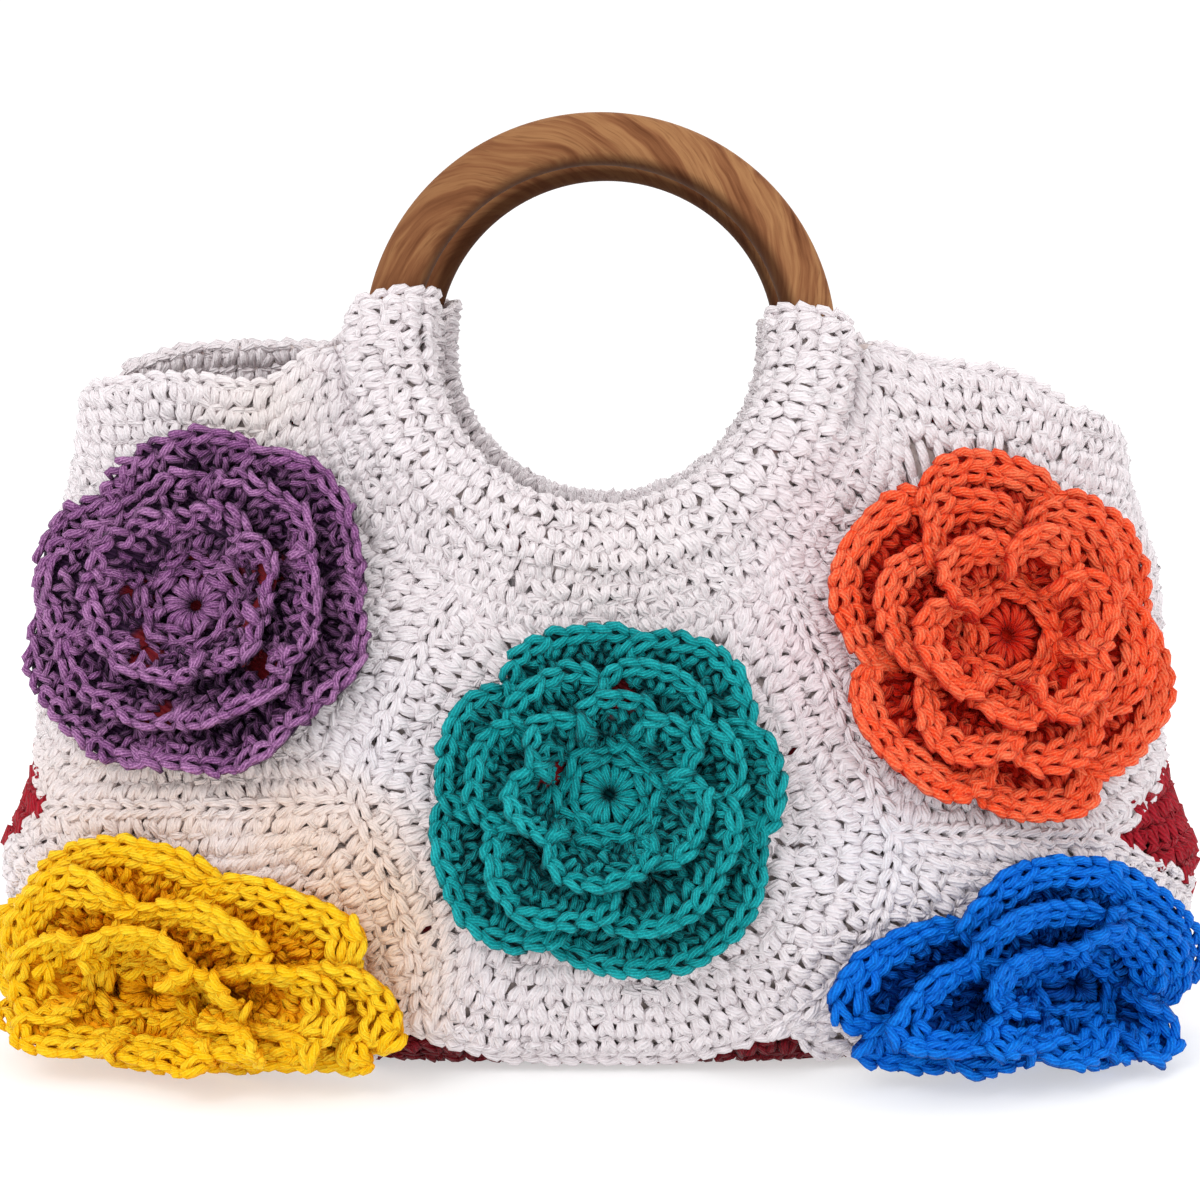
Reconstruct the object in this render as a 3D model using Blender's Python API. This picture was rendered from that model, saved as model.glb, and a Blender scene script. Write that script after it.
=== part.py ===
"""A crocheted handbag with two wooden ring handles and five layered roses.

The bag stands on its base. The origin is on the floor under the middle of the base, X runs across
the front to the right, the front faces -Y and +Z is up. Sizes are named in millimetres and the
meshes are built in metres.
"""
import math
from collections import namedtuple

import bmesh
import bpy
import numpy as np

MM = 0.001

# Bag body: superellipse sections, one row for each height
Section = namedtuple("Section", "height half_width half_depth")
SECTIONS = [
    Section(0, 134, 57),
    Section(6, 151, 68),
    Section(16, 163, 72.5),
    Section(32, 171, 74.5),
    Section(48, 172.5, 73.5),
    Section(60, 168, 70.5),
    Section(72, 164, 66.5),
    Section(90, 162, 60),
    Section(110, 162, 52.5),
    Section(131, 159.5, 44.5),
    Section(150, 153, 38.5),
    Section(165, 150, 34),
    Section(180, 148, 30.5),
    Section(205, 140, 25),
]
SQUARENESS = 2.5
WALL = 4.0
SEAM_GAP = 0.3
GUSSET_GAP = 0.6
GUSSET_COLUMNS = 4

# Wooden rings and the crocheted sleeves that grip their lower halves
RING_RADIUS = 57.9
RING_HALF_WIDTH = 7.1
RING_HALF_THICKNESS = 6.0
RING_SQUARENESS = 2.6
RING_STEPS = 36
RING_SIDES = 8
RING_LEAN = math.radians(13)
RingPlace = namedtuple("RingPlace", "name x y z facing")
RING_FRONT = RingPlace("front", 0, -27, 194, -1)
RING_BACK = RingPlace("back", 2, 27, 192, 1)
SLEEVE_CLEARANCE = 0.35
SLEEVE_THICKNESS = 4.0
SLEEVE_FIRST_STEP = -19
SLEEVE_LAST_STEP = 1
NECK_RADIUS = 70.2

# Where the seams between the five motifs meet, seen from the front
Spot = namedtuple("Spot", "x height")
PURPLE_TEAL_YELLOW = Spot(-64.6, 72.7)
TEAL_YELLOW_BASE = Spot(-46.7, 14.2)
ORANGE_TEAL_BLUE = Spot(77.0, 65.4)
TEAL_BLUE_BASE = Spot(44.8, 13.4)
PURPLE_TEAL_BOW = -4.5
ORANGE_TEAL_BOW = 0.5
TEAL_YELLOW_BOW = 4.0
TEAL_BLUE_BOW = 9.0
BOWED_PIECES = 4
STRAIGHT_PIECES = 5
NECK_PIECES = 6
MOTIF_ROWS = (0.36, 0.76, 1.0)
PURPLE_TEAL_NECK_ANGLE = -117
ORANGE_TEAL_NECK_ANGLE = -50

# The rim of the mouth between a neck and the side, from the neck outwards
FRONT_RIM_LEFT = [Spot(-78, 192.5), Spot(-94.5, 182.5), Spot(-120.4, 184.7), Spot(-144.5, 182)]
FRONT_RIM_RIGHT = [Spot(76, 194), Spot(91.5, 188.9), Spot(111.5, 186.4), Spot(129.4, 178)]
BACK_RIM_LEFT = [Spot(-80, 193), Spot(-96, 194), Spot(-122.7, 192.7), Spot(-140, 187.5)]
BACK_RIM_RIGHT = [Spot(77, 192), Spot(92, 186), Spot(111, 183), Spot(129, 175)]

# Side seams: how far round from the middle of the front each gusset edge lies, in degrees
SideSeam = namedtuple("SideSeam", "height front back")
LEFT_SEAM = [
    SideSeam(0, -84, -118),
    SideSeam(20, -86, -120),
    SideSeam(35, -84, -120),
    SideSeam(52, -72, -119),
    SideSeam(65, -60.5, -117),
    SideSeam(75, -72, -115),
    SideSeam(92, -94, -111),
    SideSeam(130, -97, -103.5),
    SideSeam(158, -97, -99.5),
    SideSeam(163, -97, -97),
    SideSeam(200, -97, -97),
]
RIGHT_SEAM = [
    SideSeam(0, 84, 118),
    SideSeam(20, 85, 120),
    SideSeam(33, 80, 120),
    SideSeam(44, 63, 119),
    SideSeam(59.5, 49, 117),
    SideSeam(70, 60, 116),
    SideSeam(82, 88, 113),
    SideSeam(96, 95, 110),
    SideSeam(130, 97, 102),
    SideSeam(148, 97, 99.5),
    SideSeam(153, 97, 97),
    SideSeam(200, 97, 97),
]
Side = namedtuple("Side", "name seam notch corner gusset_top")
LEFT = Side("left", LEFT_SEAM, 65, 180.5, 157.5)
RIGHT = Side("right", RIGHT_SEAM, 59.5, 165.5, 147.5)
LOW_SIDE_PIECES = 5
HIGH_SIDE_PIECES = 7
BACK_LEVELS = (0.0, 0.035, 0.1, 0.24, 0.48, 0.75, 1.0)

# Base panel: its edge climbs into the notches beside the middle motif
BASE_EDGE = 3.5
BASE_THICKNESS = 3.0
BASE_BACK_PIECES = 18
BASE_FLAT_ROWS = (0.5, 1.0)
BASE_CLIMB_ROWS = (0.45, 1.0)
BASE_INNER_RISE = 0.1
BASE_INNER_STEP = 1.2
BASE_FLOOR_STEP = 2.0
FOOT_OUTER_PARTS = (0.0, 0.3, 0.58, 0.78, 0.87, 0.94, 1.0)
FOOT_MIDDLE_PARTS = (0.0, 0.06, 0.14, 0.26, 0.5, 0.74, 0.86, 0.94, 1.0)
NOTCH_RISE = 10.2
NOTCH_REACH_OUT = 13.0
NOTCH_REACH_IN = 23.0
NOTCH_FALL = 1.1

# Lining
LINING_INSET = 9.5
LINING_THICKNESS = 1.2
LINING_FLOOR = 3.5
LINING_BELOW_RIM = 15.0
LINING_SIDE = 92
LINING_ROWS = (0.0, 0.1, 0.4, 0.72, 1.0)
BOTTOM_SHRINK = 0.84

# Roses: where each sits, how far it reaches over the bag to each side, how much its lower half piles
# up where the floor pushes it out, and how far its petals are turned, in degrees
Rose = namedtuple("Rose", "name colour x height left right up down pile turn droop")
ROSES = [
    Rose("purple", (0.235, 0.066, 0.235), -109, 121.6, 0.98, 1.00, 0.90, 0.88, 1.0, 12, 0.0),
    Rose("orange", (0.940, 0.095, 0.024), 110, 114.0, 1.00, 0.90, 0.98, 1.00, 1.0, 40, 0.0),
    Rose("teal", (0.004, 0.290, 0.290), 2.4, 75.0, 0.95, 0.92, 0.84, 0.90, 1.0, 22, 0.0),
    Rose("yellow", (0.960, 0.540, 0.006), -119, 21.0, 1.00, 1.46, 0.78, 0.38, 1.5, 30, 0.0),
    Rose("blue", (0.006, 0.150, 0.720), 127, 23.0, 1.42, 0.86, 0.68, 0.42, 1.5, 5, 0.5),
]
PETALS = 6
PETAL_THICKNESS = 2.4
FLOOR_FADE = 26.0
Layer = namedtuple("Layer", "name columns rows root edge root_height edge_height notch ruffle twist")
LAYERS = [
    Layer("outer", 30, 3, 15.0, 49.0, 0.4, 8.0, 0.13, 2.2, 0),
    Layer("middle", 30, 2, 13.8, 37.0, 3.2, 12.5, 0.16, 2.6, 30),
    Layer("inner", 24, 2, 12.6, 26.0, 6.0, 15.5, 0.18, 2.6, 8),
]
DISC_RADIUS = 12.0
DISC_HEIGHT = 6.0
DISC_BASE_HEIGHT = 0.4
DISC_COLUMNS = 16
YARN_ROUGHNESS = 0.85
WOOD_ROUGHNESS = 0.45

WHITE = (0.82, 0.79, 0.80)
RED = (0.26, 0.004, 0.012)
WOOD = (0.30, 0.12, 0.048)


def table_value(position, stations, values):
    """Cubic curve through a table that never overshoots it."""
    stations = np.asarray(stations, float)
    values = np.asarray(values, float)
    run = np.diff(stations)
    rise = np.diff(values) / run
    product = rise[:-1] * rise[1:]
    safe = np.where(product > 0, rise[:-1] + rise[1:], 1.0)
    middle = np.where(product > 0, 2.0 * product / safe, 0.0)
    slope = np.concatenate([rise[:1], middle, rise[-1:]])
    place = np.clip(position, stations[0], stations[-1])
    cell = np.clip(np.searchsorted(stations, place, side="right") - 1, 0, len(run) - 1)
    step = run[cell]
    t = (place - stations[cell]) / step
    start = values[cell] * (2 * t**3 - 3 * t**2 + 1) + slope[cell] * step * (t**3 - 2 * t**2 + t)
    end = values[cell + 1] * (3 * t**2 - 2 * t**3) + slope[cell + 1] * step * (t**3 - t**2)
    return start + end


def column(rows, name):
    return [getattr(row, name) for row in rows]


def half_width(height):
    return table_value(height, column(SECTIONS, "height"), column(SECTIONS, "half_width"))


def half_depth(height):
    return table_value(height, column(SECTIONS, "height"), column(SECTIONS, "half_depth"))


def body_point(angle, height, inset=0.0):
    """Point of the bag's outer surface, or of one inset from it, at an angle round from the front."""
    angle, height = np.broadcast_arrays(np.asarray(angle, float), np.asarray(height, float))
    across = np.sin(angle)
    along = np.cos(angle)
    reach = (np.abs(across) ** SQUARENESS + np.abs(along) ** SQUARENESS) ** (-1 / SQUARENESS)
    share = reach * across
    x = (half_width(height) - inset * share**4) * share
    y = -(half_depth(height) - inset) * reach * along
    return np.stack([x, y, height], axis=-1)


def outward(angle, height):
    """Unit normal of the bag's surface, turned level where the bag rounds under to the floor."""
    small = 1e-3
    step = 0.2
    around = body_point(angle + small, height) - body_point(angle - small, height)
    low = np.maximum(height - step, 0.0)
    upward = body_point(angle, height + step) - body_point(angle, low)
    normal = np.cross(around, upward)
    level = np.clip(height / FLOOR_FADE, 0.0, 1.0) ** 2
    drop = np.where(normal[..., 2] < 0, level, 1.0)
    normal = np.stack([normal[..., 0], normal[..., 1], normal[..., 2] * drop], axis=-1)
    return normal / np.linalg.norm(normal, axis=-1, keepdims=True)


def front_angle(x, height):
    """Angle round from the middle of the front where the surface has this x."""
    ratio = np.clip(np.asarray(x, float) / half_width(height), -0.9995, 0.9995)
    return np.arctan2(ratio, (1 - np.abs(ratio) ** SQUARENESS) ** (1 / SQUARENESS))


def back_angle(x, height):
    """The same on the back, counted on round the side that x lies on."""
    front = front_angle(x, height)
    return np.where(np.asarray(x) < 0, -math.pi - front, math.pi - front)


def base_edge(angle):
    """Height of the base panel's edge: level, with a peak in each notch beside the teal motif."""
    x = body_point(angle, BASE_EDGE)[..., 0]
    peak = np.zeros_like(x)
    for notch in (TEAL_YELLOW_BASE, TEAL_BLUE_BASE):
        reach = np.where(np.abs(x) < abs(notch.x), NOTCH_REACH_IN, NOTCH_REACH_OUT)
        closeness = np.clip(1 - np.abs(x - notch.x) / reach, 0, 1)
        peak = np.maximum(peak, closeness**NOTCH_FALL)
    on_front = np.cos(angle) > 0
    return BASE_EDGE + NOTCH_RISE * peak * on_front


def ring_point(place, turn, radius, depth):
    """Point at a turn and radius in a ring's plane, and a depth out of it towards the outside."""
    up = (0.0, -place.facing * math.sin(RING_LEAN), math.cos(RING_LEAN))
    out = (0.0, place.facing * math.cos(RING_LEAN), math.sin(RING_LEAN))
    x = place.x + radius * np.cos(turn)
    y = place.y + radius * np.sin(turn) * up[1] + depth * out[1]
    z = place.z + radius * np.sin(turn) * up[2] + depth * out[2]
    return np.stack(np.broadcast_arrays(x, y, z), axis=-1)


def ring_section(turns, place, half_radial, half_axial):
    """One rounded-square loop of a ring or sleeve for each turn."""
    around = (np.arange(RING_SIDES) + 0.5) * 2 * math.pi / RING_SIDES
    across = np.cos(around)
    along = np.sin(around)
    reach = (np.abs(across) ** RING_SQUARENESS + np.abs(along) ** RING_SQUARENESS) ** (-1 / RING_SQUARENESS)
    radius = RING_RADIUS + half_radial * reach * across
    depth = half_axial * reach * along
    return [ring_point(place, turn, radius, depth) for turn in turns]


def stack_faces(rows, count, closed):
    """Quads between neighbouring rows of count points, the last row joined to the first if closed."""
    faces = []
    for row in range(rows if closed else rows - 1):
        above = (row + 1) % rows
        for i in range(count):
            j = (i + 1) % count
            faces.append((row * count + i, row * count + j, above * count + j, above * count + i))
    return faces


def add_solid(name, vertices, faces, colour, roughness):
    """Makes one closed object with its own material from points in millimetres."""
    mesh = bpy.data.meshes.new(name)
    mesh.from_pydata((np.asarray(vertices) * MM).tolist(), [], faces)
    solid = bmesh.new()
    solid.from_mesh(mesh)
    bmesh.ops.recalc_face_normals(solid, faces=solid.faces)
    solid.to_mesh(mesh)
    solid.free()
    mesh.shade_smooth()
    mesh.set_sharp_from_angle(angle=math.radians(50))
    material = bpy.data.materials.new(name)
    material.use_nodes = True
    shader = material.node_tree.nodes["Principled BSDF"]
    shader.inputs["Base Color"].default_value = (*colour, 1.0)
    shader.inputs["Roughness"].default_value = roughness
    shader.inputs["Metallic"].default_value = 0.0
    mesh.materials.append(material)
    item = bpy.data.objects.new(name, mesh)
    bpy.context.scene.collection.objects.link(item)
    return item


def add_ringed(name, loops, colour, roughness=YARN_ROUGHNESS):
    """Solid whose loops follow one another back to the first, such as a ring or a hollow band."""
    count = len(loops[0])
    add_solid(name, np.concatenate(loops), stack_faces(len(loops), count, True), colour, roughness)


def add_pointed(name, first, loops, last, colour, roughness=YARN_ROUGHNESS):
    """Solid whose loops run from one closing point to another."""
    count = len(loops[0])
    points = np.concatenate([*loops, [first], [last]])
    faces = stack_faces(len(loops), count, False)
    hub = len(loops) * count
    top = (len(loops) - 1) * count
    for i in range(count):
        j = (i + 1) % count
        faces.append((hub, j, i))
        faces.append((hub + 1, top + i, top + j))
    add_solid(name, points, faces, colour, roughness)


def add_strip(name, rows, colour, roughness=YARN_ROUGHNESS):
    """Sheet solid: each row holds an outer line of points and then the inner line, turned back."""
    count = len(rows[0])
    faces = stack_faces(len(rows), count, False)
    for base in (0, (len(rows) - 1) * count):
        for i in range(count // 2 - 1):
            faces.append((base + i, base + i + 1, base + count - 2 - i, base + count - 1 - i))
    add_solid(name, np.concatenate(rows), faces, colour, roughness)


def make_rings():
    turns = np.arange(RING_STEPS) * 2 * math.pi / RING_STEPS
    sleeve_turns = np.arange(SLEEVE_FIRST_STEP, SLEEVE_LAST_STEP + 1) * 2 * math.pi / RING_STEPS
    hole = SLEEVE_CLEARANCE
    outside = SLEEVE_CLEARANCE + SLEEVE_THICKNESS
    for place in (RING_FRONT, RING_BACK):
        wood = ring_section(turns, place, RING_HALF_WIDTH, RING_HALF_THICKNESS)
        add_ringed("ring_handle_" + place.name, wood, WOOD, WOOD_ROUGHNESS)
        outer = ring_section(
            sleeve_turns, place, RING_HALF_WIDTH + outside, RING_HALF_THICKNESS + outside
        )
        inner = ring_section(sleeve_turns, place, RING_HALF_WIDTH + hole, RING_HALF_THICKNESS + hole)
        add_ringed("sleeve_" + place.name, outer + inner[::-1], WHITE)


def neck_arc(place, first, last, pieces):
    """Spots along the sleeve's outer edge, as angle round the bag and height."""
    turns = np.radians(np.linspace(first, last, pieces + 1))
    spots = ring_point(place, turns, NECK_RADIUS, 0.0)
    find = front_angle if place.facing < 0 else back_angle
    return np.stack([find(spots[:, 0], spots[:, 2]), spots[:, 2]], axis=-1)


def rim_line(spots, find):
    x = np.array(column(spots, "x"), float)
    height = np.array(column(spots, "height"), float)
    return np.stack([find(x, height), height], axis=-1)


def seam_stations(side, edge):
    """Heights of the corners of a side seam, from the foot of the walls to the rim."""
    foot = BASE_EDGE + SEAM_GAP
    if edge == "back":
        return foot + (side.corner - foot) * np.array(BACK_LEVELS)
    low = np.linspace(foot, side.notch, LOW_SIDE_PIECES + 1)
    high = np.linspace(side.notch, side.corner, HIGH_SIDE_PIECES + 1)
    return np.concatenate([low, high[1:]])


def seam_angle(side, edge, height):
    """Angle round the bag of a side seam at a height, straight between its corners."""
    stations = seam_stations(side, edge)
    degrees = table_value(stations, column(side.seam, "height"), column(side.seam, edge))
    return np.interp(height, stations, np.radians(degrees))


def side_lines(side):
    """Spots up the front seam of a side: from the foot to the notch and from there to the rim."""
    height = seam_stations(side, "front")
    line = np.stack([seam_angle(side, "front", height), height], axis=-1)
    return line[: LOW_SIDE_PIECES + 1], line[LOW_SIDE_PIECES:]


def bowed_line(start, end, bow):
    """Spots along a seam from start to end that bows to its left by the given amount."""
    t = np.linspace(0, 1, BOWED_PIECES + 1)
    span = np.array([end.x - start.x, end.height - start.height])
    left = np.array([-span[1], span[0]]) / np.linalg.norm(span)
    line = np.array([start.x, start.height]) + np.outer(t, span) + np.outer(4 * t * (1 - t) * bow, left)
    return np.stack([front_angle(line[:, 0], line[:, 1]), line[:, 1]], axis=-1)


def foot_angles():
    """Corners of the front's foot, in three runs that meet in the notches beside the teal motif."""
    foot = BASE_EDGE + SEAM_GAP
    left = float(seam_angle(LEFT, "front", foot))
    right = float(seam_angle(RIGHT, "front", foot))
    notch_left = spot_angle(TEAL_YELLOW_BASE)
    notch_right = spot_angle(TEAL_BLUE_BASE)
    outer = np.array(FOOT_OUTER_PARTS)
    middle = np.array(FOOT_MIDDLE_PARTS)
    return (
        left + (notch_left - left) * outer,
        notch_left + (notch_right - notch_left) * middle,
        notch_right + (right - notch_right) * (1 - outer[::-1]),
    )


def foot_line(angle):
    """Spots along the foot of the walls, a seam's gap above the base panel's edge."""
    return np.stack([angle, base_edge(angle) + SEAM_GAP], axis=-1)


def spot_angle(spot):
    return float(front_angle(spot.x, spot.height))


def join_lines(*lines):
    """One closed outline from lines that meet end to end."""
    return np.concatenate([line[:-1] for line in lines])


def motif_outlines():
    """The outline of each motif, as angle round the bag and height."""
    arc_left = neck_arc(RING_FRONT, -180, PURPLE_TEAL_NECK_ANGLE, NECK_PIECES)
    arc_middle = neck_arc(RING_FRONT, PURPLE_TEAL_NECK_ANGLE, ORANGE_TEAL_NECK_ANGLE, NECK_PIECES)
    arc_right = neck_arc(RING_FRONT, ORANGE_TEAL_NECK_ANGLE, 0, NECK_PIECES)
    neck_left = ring_point(RING_FRONT, math.radians(PURPLE_TEAL_NECK_ANGLE), NECK_RADIUS, 0.0)
    neck_right = ring_point(RING_FRONT, math.radians(ORANGE_TEAL_NECK_ANGLE), NECK_RADIUS, 0.0)
    purple_teal = bowed_line(Spot(neck_left[0], neck_left[2]), PURPLE_TEAL_YELLOW, PURPLE_TEAL_BOW)
    orange_teal = bowed_line(Spot(neck_right[0], neck_right[2]), ORANGE_TEAL_BLUE, ORANGE_TEAL_BOW)
    teal_yellow = bowed_line(PURPLE_TEAL_YELLOW, TEAL_YELLOW_BASE, TEAL_YELLOW_BOW)
    teal_blue = bowed_line(ORANGE_TEAL_BLUE, TEAL_BLUE_BASE, TEAL_BLUE_BOW)
    side_yellow, side_purple = side_lines(LEFT)
    side_blue, side_orange = side_lines(RIGHT)
    part = np.linspace(0, 1, STRAIGHT_PIECES + 1)[:, None]
    purple_yellow = purple_teal[-1] + (side_purple[0] - purple_teal[-1]) * part
    orange_blue = orange_teal[-1] + (side_orange[0] - orange_teal[-1]) * part
    rim_left = rim_line(FRONT_RIM_LEFT, front_angle)
    rim_right = rim_line(FRONT_RIM_RIGHT, front_angle)
    foot_left, foot_middle, foot_right = (foot_line(angles) for angles in foot_angles())
    teal_yellow[-1] = foot_left[-1]
    teal_blue[-1] = foot_right[0]
    return {
        "purple": np.concatenate([
            join_lines(purple_teal[::-1]), arc_left[::-1], rim_left, join_lines(side_purple[::-1]),
            join_lines(purple_yellow[::-1]),
        ]),
        "orange": np.concatenate([
            join_lines(orange_teal[::-1]), arc_right, rim_right, join_lines(side_orange[::-1]),
            join_lines(orange_blue[::-1]),
        ]),
        "teal": join_lines(
            arc_middle, orange_teal, teal_blue, foot_middle[::-1], teal_yellow[::-1], purple_teal[::-1]
        ),
        "yellow": join_lines(teal_yellow, foot_left[::-1], side_yellow, purple_yellow[::-1]),
        "blue": join_lines(teal_blue, foot_right, side_blue, orange_blue[::-1]),
    }


def make_motifs():
    """The white crocheted grounds of the five roses, each a curved sheet from its rose outwards."""
    outlines = motif_outlines()
    for rose in ROSES:
        centre = np.array([front_angle(rose.x, rose.height), rose.height])
        outline = outlines[rose.name] - centre
        size = np.linalg.norm(outline * np.array([half_width(rose.height), 1.0]), axis=1)
        outline = outline * (1 - SEAM_GAP / size)[:, None]
        grids = [centre + outline * part for part in MOTIF_ROWS]
        outer = [body_point(grid[:, 0], grid[:, 1]) for grid in grids]
        inner = [body_point(grid[:, 0], grid[:, 1], WALL) for grid in grids]
        first = body_point(*centre)
        last = body_point(*centre, WALL)
        add_pointed("motif_" + rose.name, first, outer + inner[::-1], last, WHITE)


def eased(value):
    """A smooth step from 0 to 1 as a sine or cosine passes through 0."""
    part = np.clip(value / 0.6 + 0.5, 0, 1)
    return part * part * (3 - 2 * part)


def rose_point(rose, turn, radius, height):
    """Point of a rose: its flat polar place is laid over the bag and raised along the normal.

    The droop lowers its right half by a share of the sideways reach, down to just above the floor.
    """
    across = np.cos(turn)
    lift = np.sin(turn)
    side = radius * across * (rose.left + (rose.right - rose.left) * eased(across))
    level = rose.height + radius * lift * (rose.down + (rose.up - rose.down) * eased(lift))
    level = np.maximum(level - rose.droop * np.maximum(side, 0.0), 2.0)
    height = height * (rose.pile + (1 - rose.pile) * eased(lift))
    walk = np.linspace(-math.pi, math.pi, 721)
    line = body_point(walk, rose.height)
    length = np.concatenate([[0], np.cumsum(np.linalg.norm(np.diff(line, axis=0), axis=1))])
    start = np.interp(front_angle(rose.x, rose.height), walk, length)
    angle = np.interp(start + side, length, walk)
    return body_point(angle, level) + outward(angle, level) * height[..., None]


def petal_lobe(turn, first):
    """0 at the notches between petals and 1 across each petal's middle."""
    return np.abs(np.sin((turn - first) * PETALS / 2)) ** 0.6


def make_layer(rose, layer):
    """A closed band of six petals that rises from its root to a scalloped, ruffled edge."""
    first = math.radians(rose.turn + layer.twist)
    turn = first + np.arange(layer.columns) * 2 * math.pi / layer.columns
    lobe = petal_lobe(turn, first)
    edge = layer.edge * (1 - layer.notch * (1 - lobe))
    rise = layer.edge_height - layer.root_height + layer.ruffle * (lobe - 0.5)
    faces = []
    for lift in (PETAL_THICKNESS, 0.0):
        rows = []
        for part in np.linspace(0, 1, layer.rows):
            radius = layer.root + (edge - layer.root) * part
            height = layer.root_height + rise * part**1.2 + lift
            rows.append(rose_point(rose, turn, radius, height))
        faces += rows if lift else rows[::-1]
    add_ringed(layer.name + "_petals_" + rose.name, faces, rose.colour)


def make_disc(rose):
    """The round centre of a rose, domed towards its rim with a dimple in the middle."""
    turn = np.arange(DISC_COLUMNS) * 2 * math.pi / DISC_COLUMNS
    level = np.ones_like(turn)
    low = DISC_BASE_HEIGHT
    loops = [
        rose_point(rose, turn, level * DISC_RADIUS * 0.9, level * low),
        rose_point(rose, turn, level * DISC_RADIUS, level * DISC_HEIGHT * 0.5),
        rose_point(rose, turn, level * DISC_RADIUS * 0.75, level * DISC_HEIGHT),
    ]
    centre = np.zeros(1)
    first = rose_point(rose, centre, centre, centre + low)[0]
    last = rose_point(rose, centre, centre, centre + DISC_HEIGHT * 0.7)[0]
    add_pointed("flower_centre_" + rose.name, first, loops, last, rose.colour)


def make_roses():
    for rose in ROSES:
        for layer in LAYERS:
            make_layer(rose, layer)
        make_disc(rose)


def sheet_row(angles, heights, outer_inset=0.0, inner_inset=WALL):
    """An outer line of points and the inner line behind it, turned back."""
    outer = body_point(angles, heights, outer_inset)
    inner = body_point(angles, heights, inner_inset)
    return np.concatenate([outer, inner[::-1]])


def make_gusset(side):
    """The red side panel between the front motifs and the back, narrowing upwards."""
    levels = np.concatenate([seam_stations(side, "front"), seam_stations(side, "back")])
    levels = np.unique(levels[levels < side.gusset_top - SEAM_GAP])
    strips = []
    for height in np.append(levels, side.gusset_top):
        front = float(seam_angle(side, "front", height))
        back = float(seam_angle(side, "back", height))
        gap = math.copysign(GUSSET_GAP / float(half_depth(height)), back)
        angles = np.linspace(front + gap, back - gap, GUSSET_COLUMNS + 1)
        strips.append(sheet_row(angles, np.full(GUSSET_COLUMNS + 1, height)))
    add_strip("gusset_" + side.name, strips, RED)


def behind(angle):
    """An angle counted round the left side, so that the whole back lies below minus 90 degrees."""
    return np.where(angle > 0, angle - 2 * math.pi, angle)


def make_back():
    """The plain white back, one sheet from the foot to the rim and the back sleeve's edge."""
    top = np.concatenate([
        rim_line(BACK_RIM_LEFT, back_angle)[::-1],
        neck_arc(RING_BACK, -180, 0, 12),
        rim_line(BACK_RIM_RIGHT, back_angle),
    ])
    top_x = body_point(top[:, 0], top[:, 1])[:, 0]
    top[:, 0] = behind(top[:, 0])
    foot = behind(back_angle(top_x * BOTTOM_SHRINK, BASE_EDGE))
    left_heights = seam_stations(LEFT, "back")
    right_heights = seam_stations(RIGHT, "back")
    strips = []
    for row, part in enumerate(BACK_LEVELS):
        left = left_heights[row]
        right = right_heights[row]
        gap = SEAM_GAP / float(half_depth(left))
        middle = BASE_EDGE + SEAM_GAP + (top[:, 1] - BASE_EDGE - SEAM_GAP) * part
        angles = np.concatenate([
            [seam_angle(LEFT, "back", left) - gap],
            foot + (top[:, 0] - foot) * part,
            [behind(seam_angle(RIGHT, "back", right)) + gap],
        ])
        strips.append(sheet_row(angles, np.concatenate([[left], middle, [right]])))
    add_strip("back_panel", strips, WHITE)


def make_base():
    """The red base: flat on the floor, with a rounded edge that climbs to the walls."""
    front = join_lines(*foot_angles())
    back = np.linspace(foot_angles()[2][-1], foot_angles()[0][0] + 2 * math.pi, BASE_BACK_PIECES + 1)
    angle = np.concatenate([front, back[:-1]])
    columns = len(angle)
    edge = base_edge(angle)
    ground = body_point(angle, np.zeros(columns))
    below = [ground * part for part in BASE_FLAT_ROWS]
    climb = [body_point(angle, edge * part) for part in BASE_CLIMB_ROWS]
    foot = np.full(columns, BASE_THICKNESS + BASE_INNER_RISE)
    lip = [body_point(angle, edge, WALL), body_point(angle, foot, WALL + BASE_INNER_STEP)]
    floor = body_point(angle, np.zeros(columns), WALL + BASE_FLOOR_STEP)
    above = [floor * part + np.array([0, 0, BASE_THICKNESS]) for part in BASE_FLAT_ROWS[::-1]]
    first = np.zeros(3)
    last = np.array([0, 0, BASE_THICKNESS])
    add_pointed("base_panel", first, below + climb + lip + above, last, RED)


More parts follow.
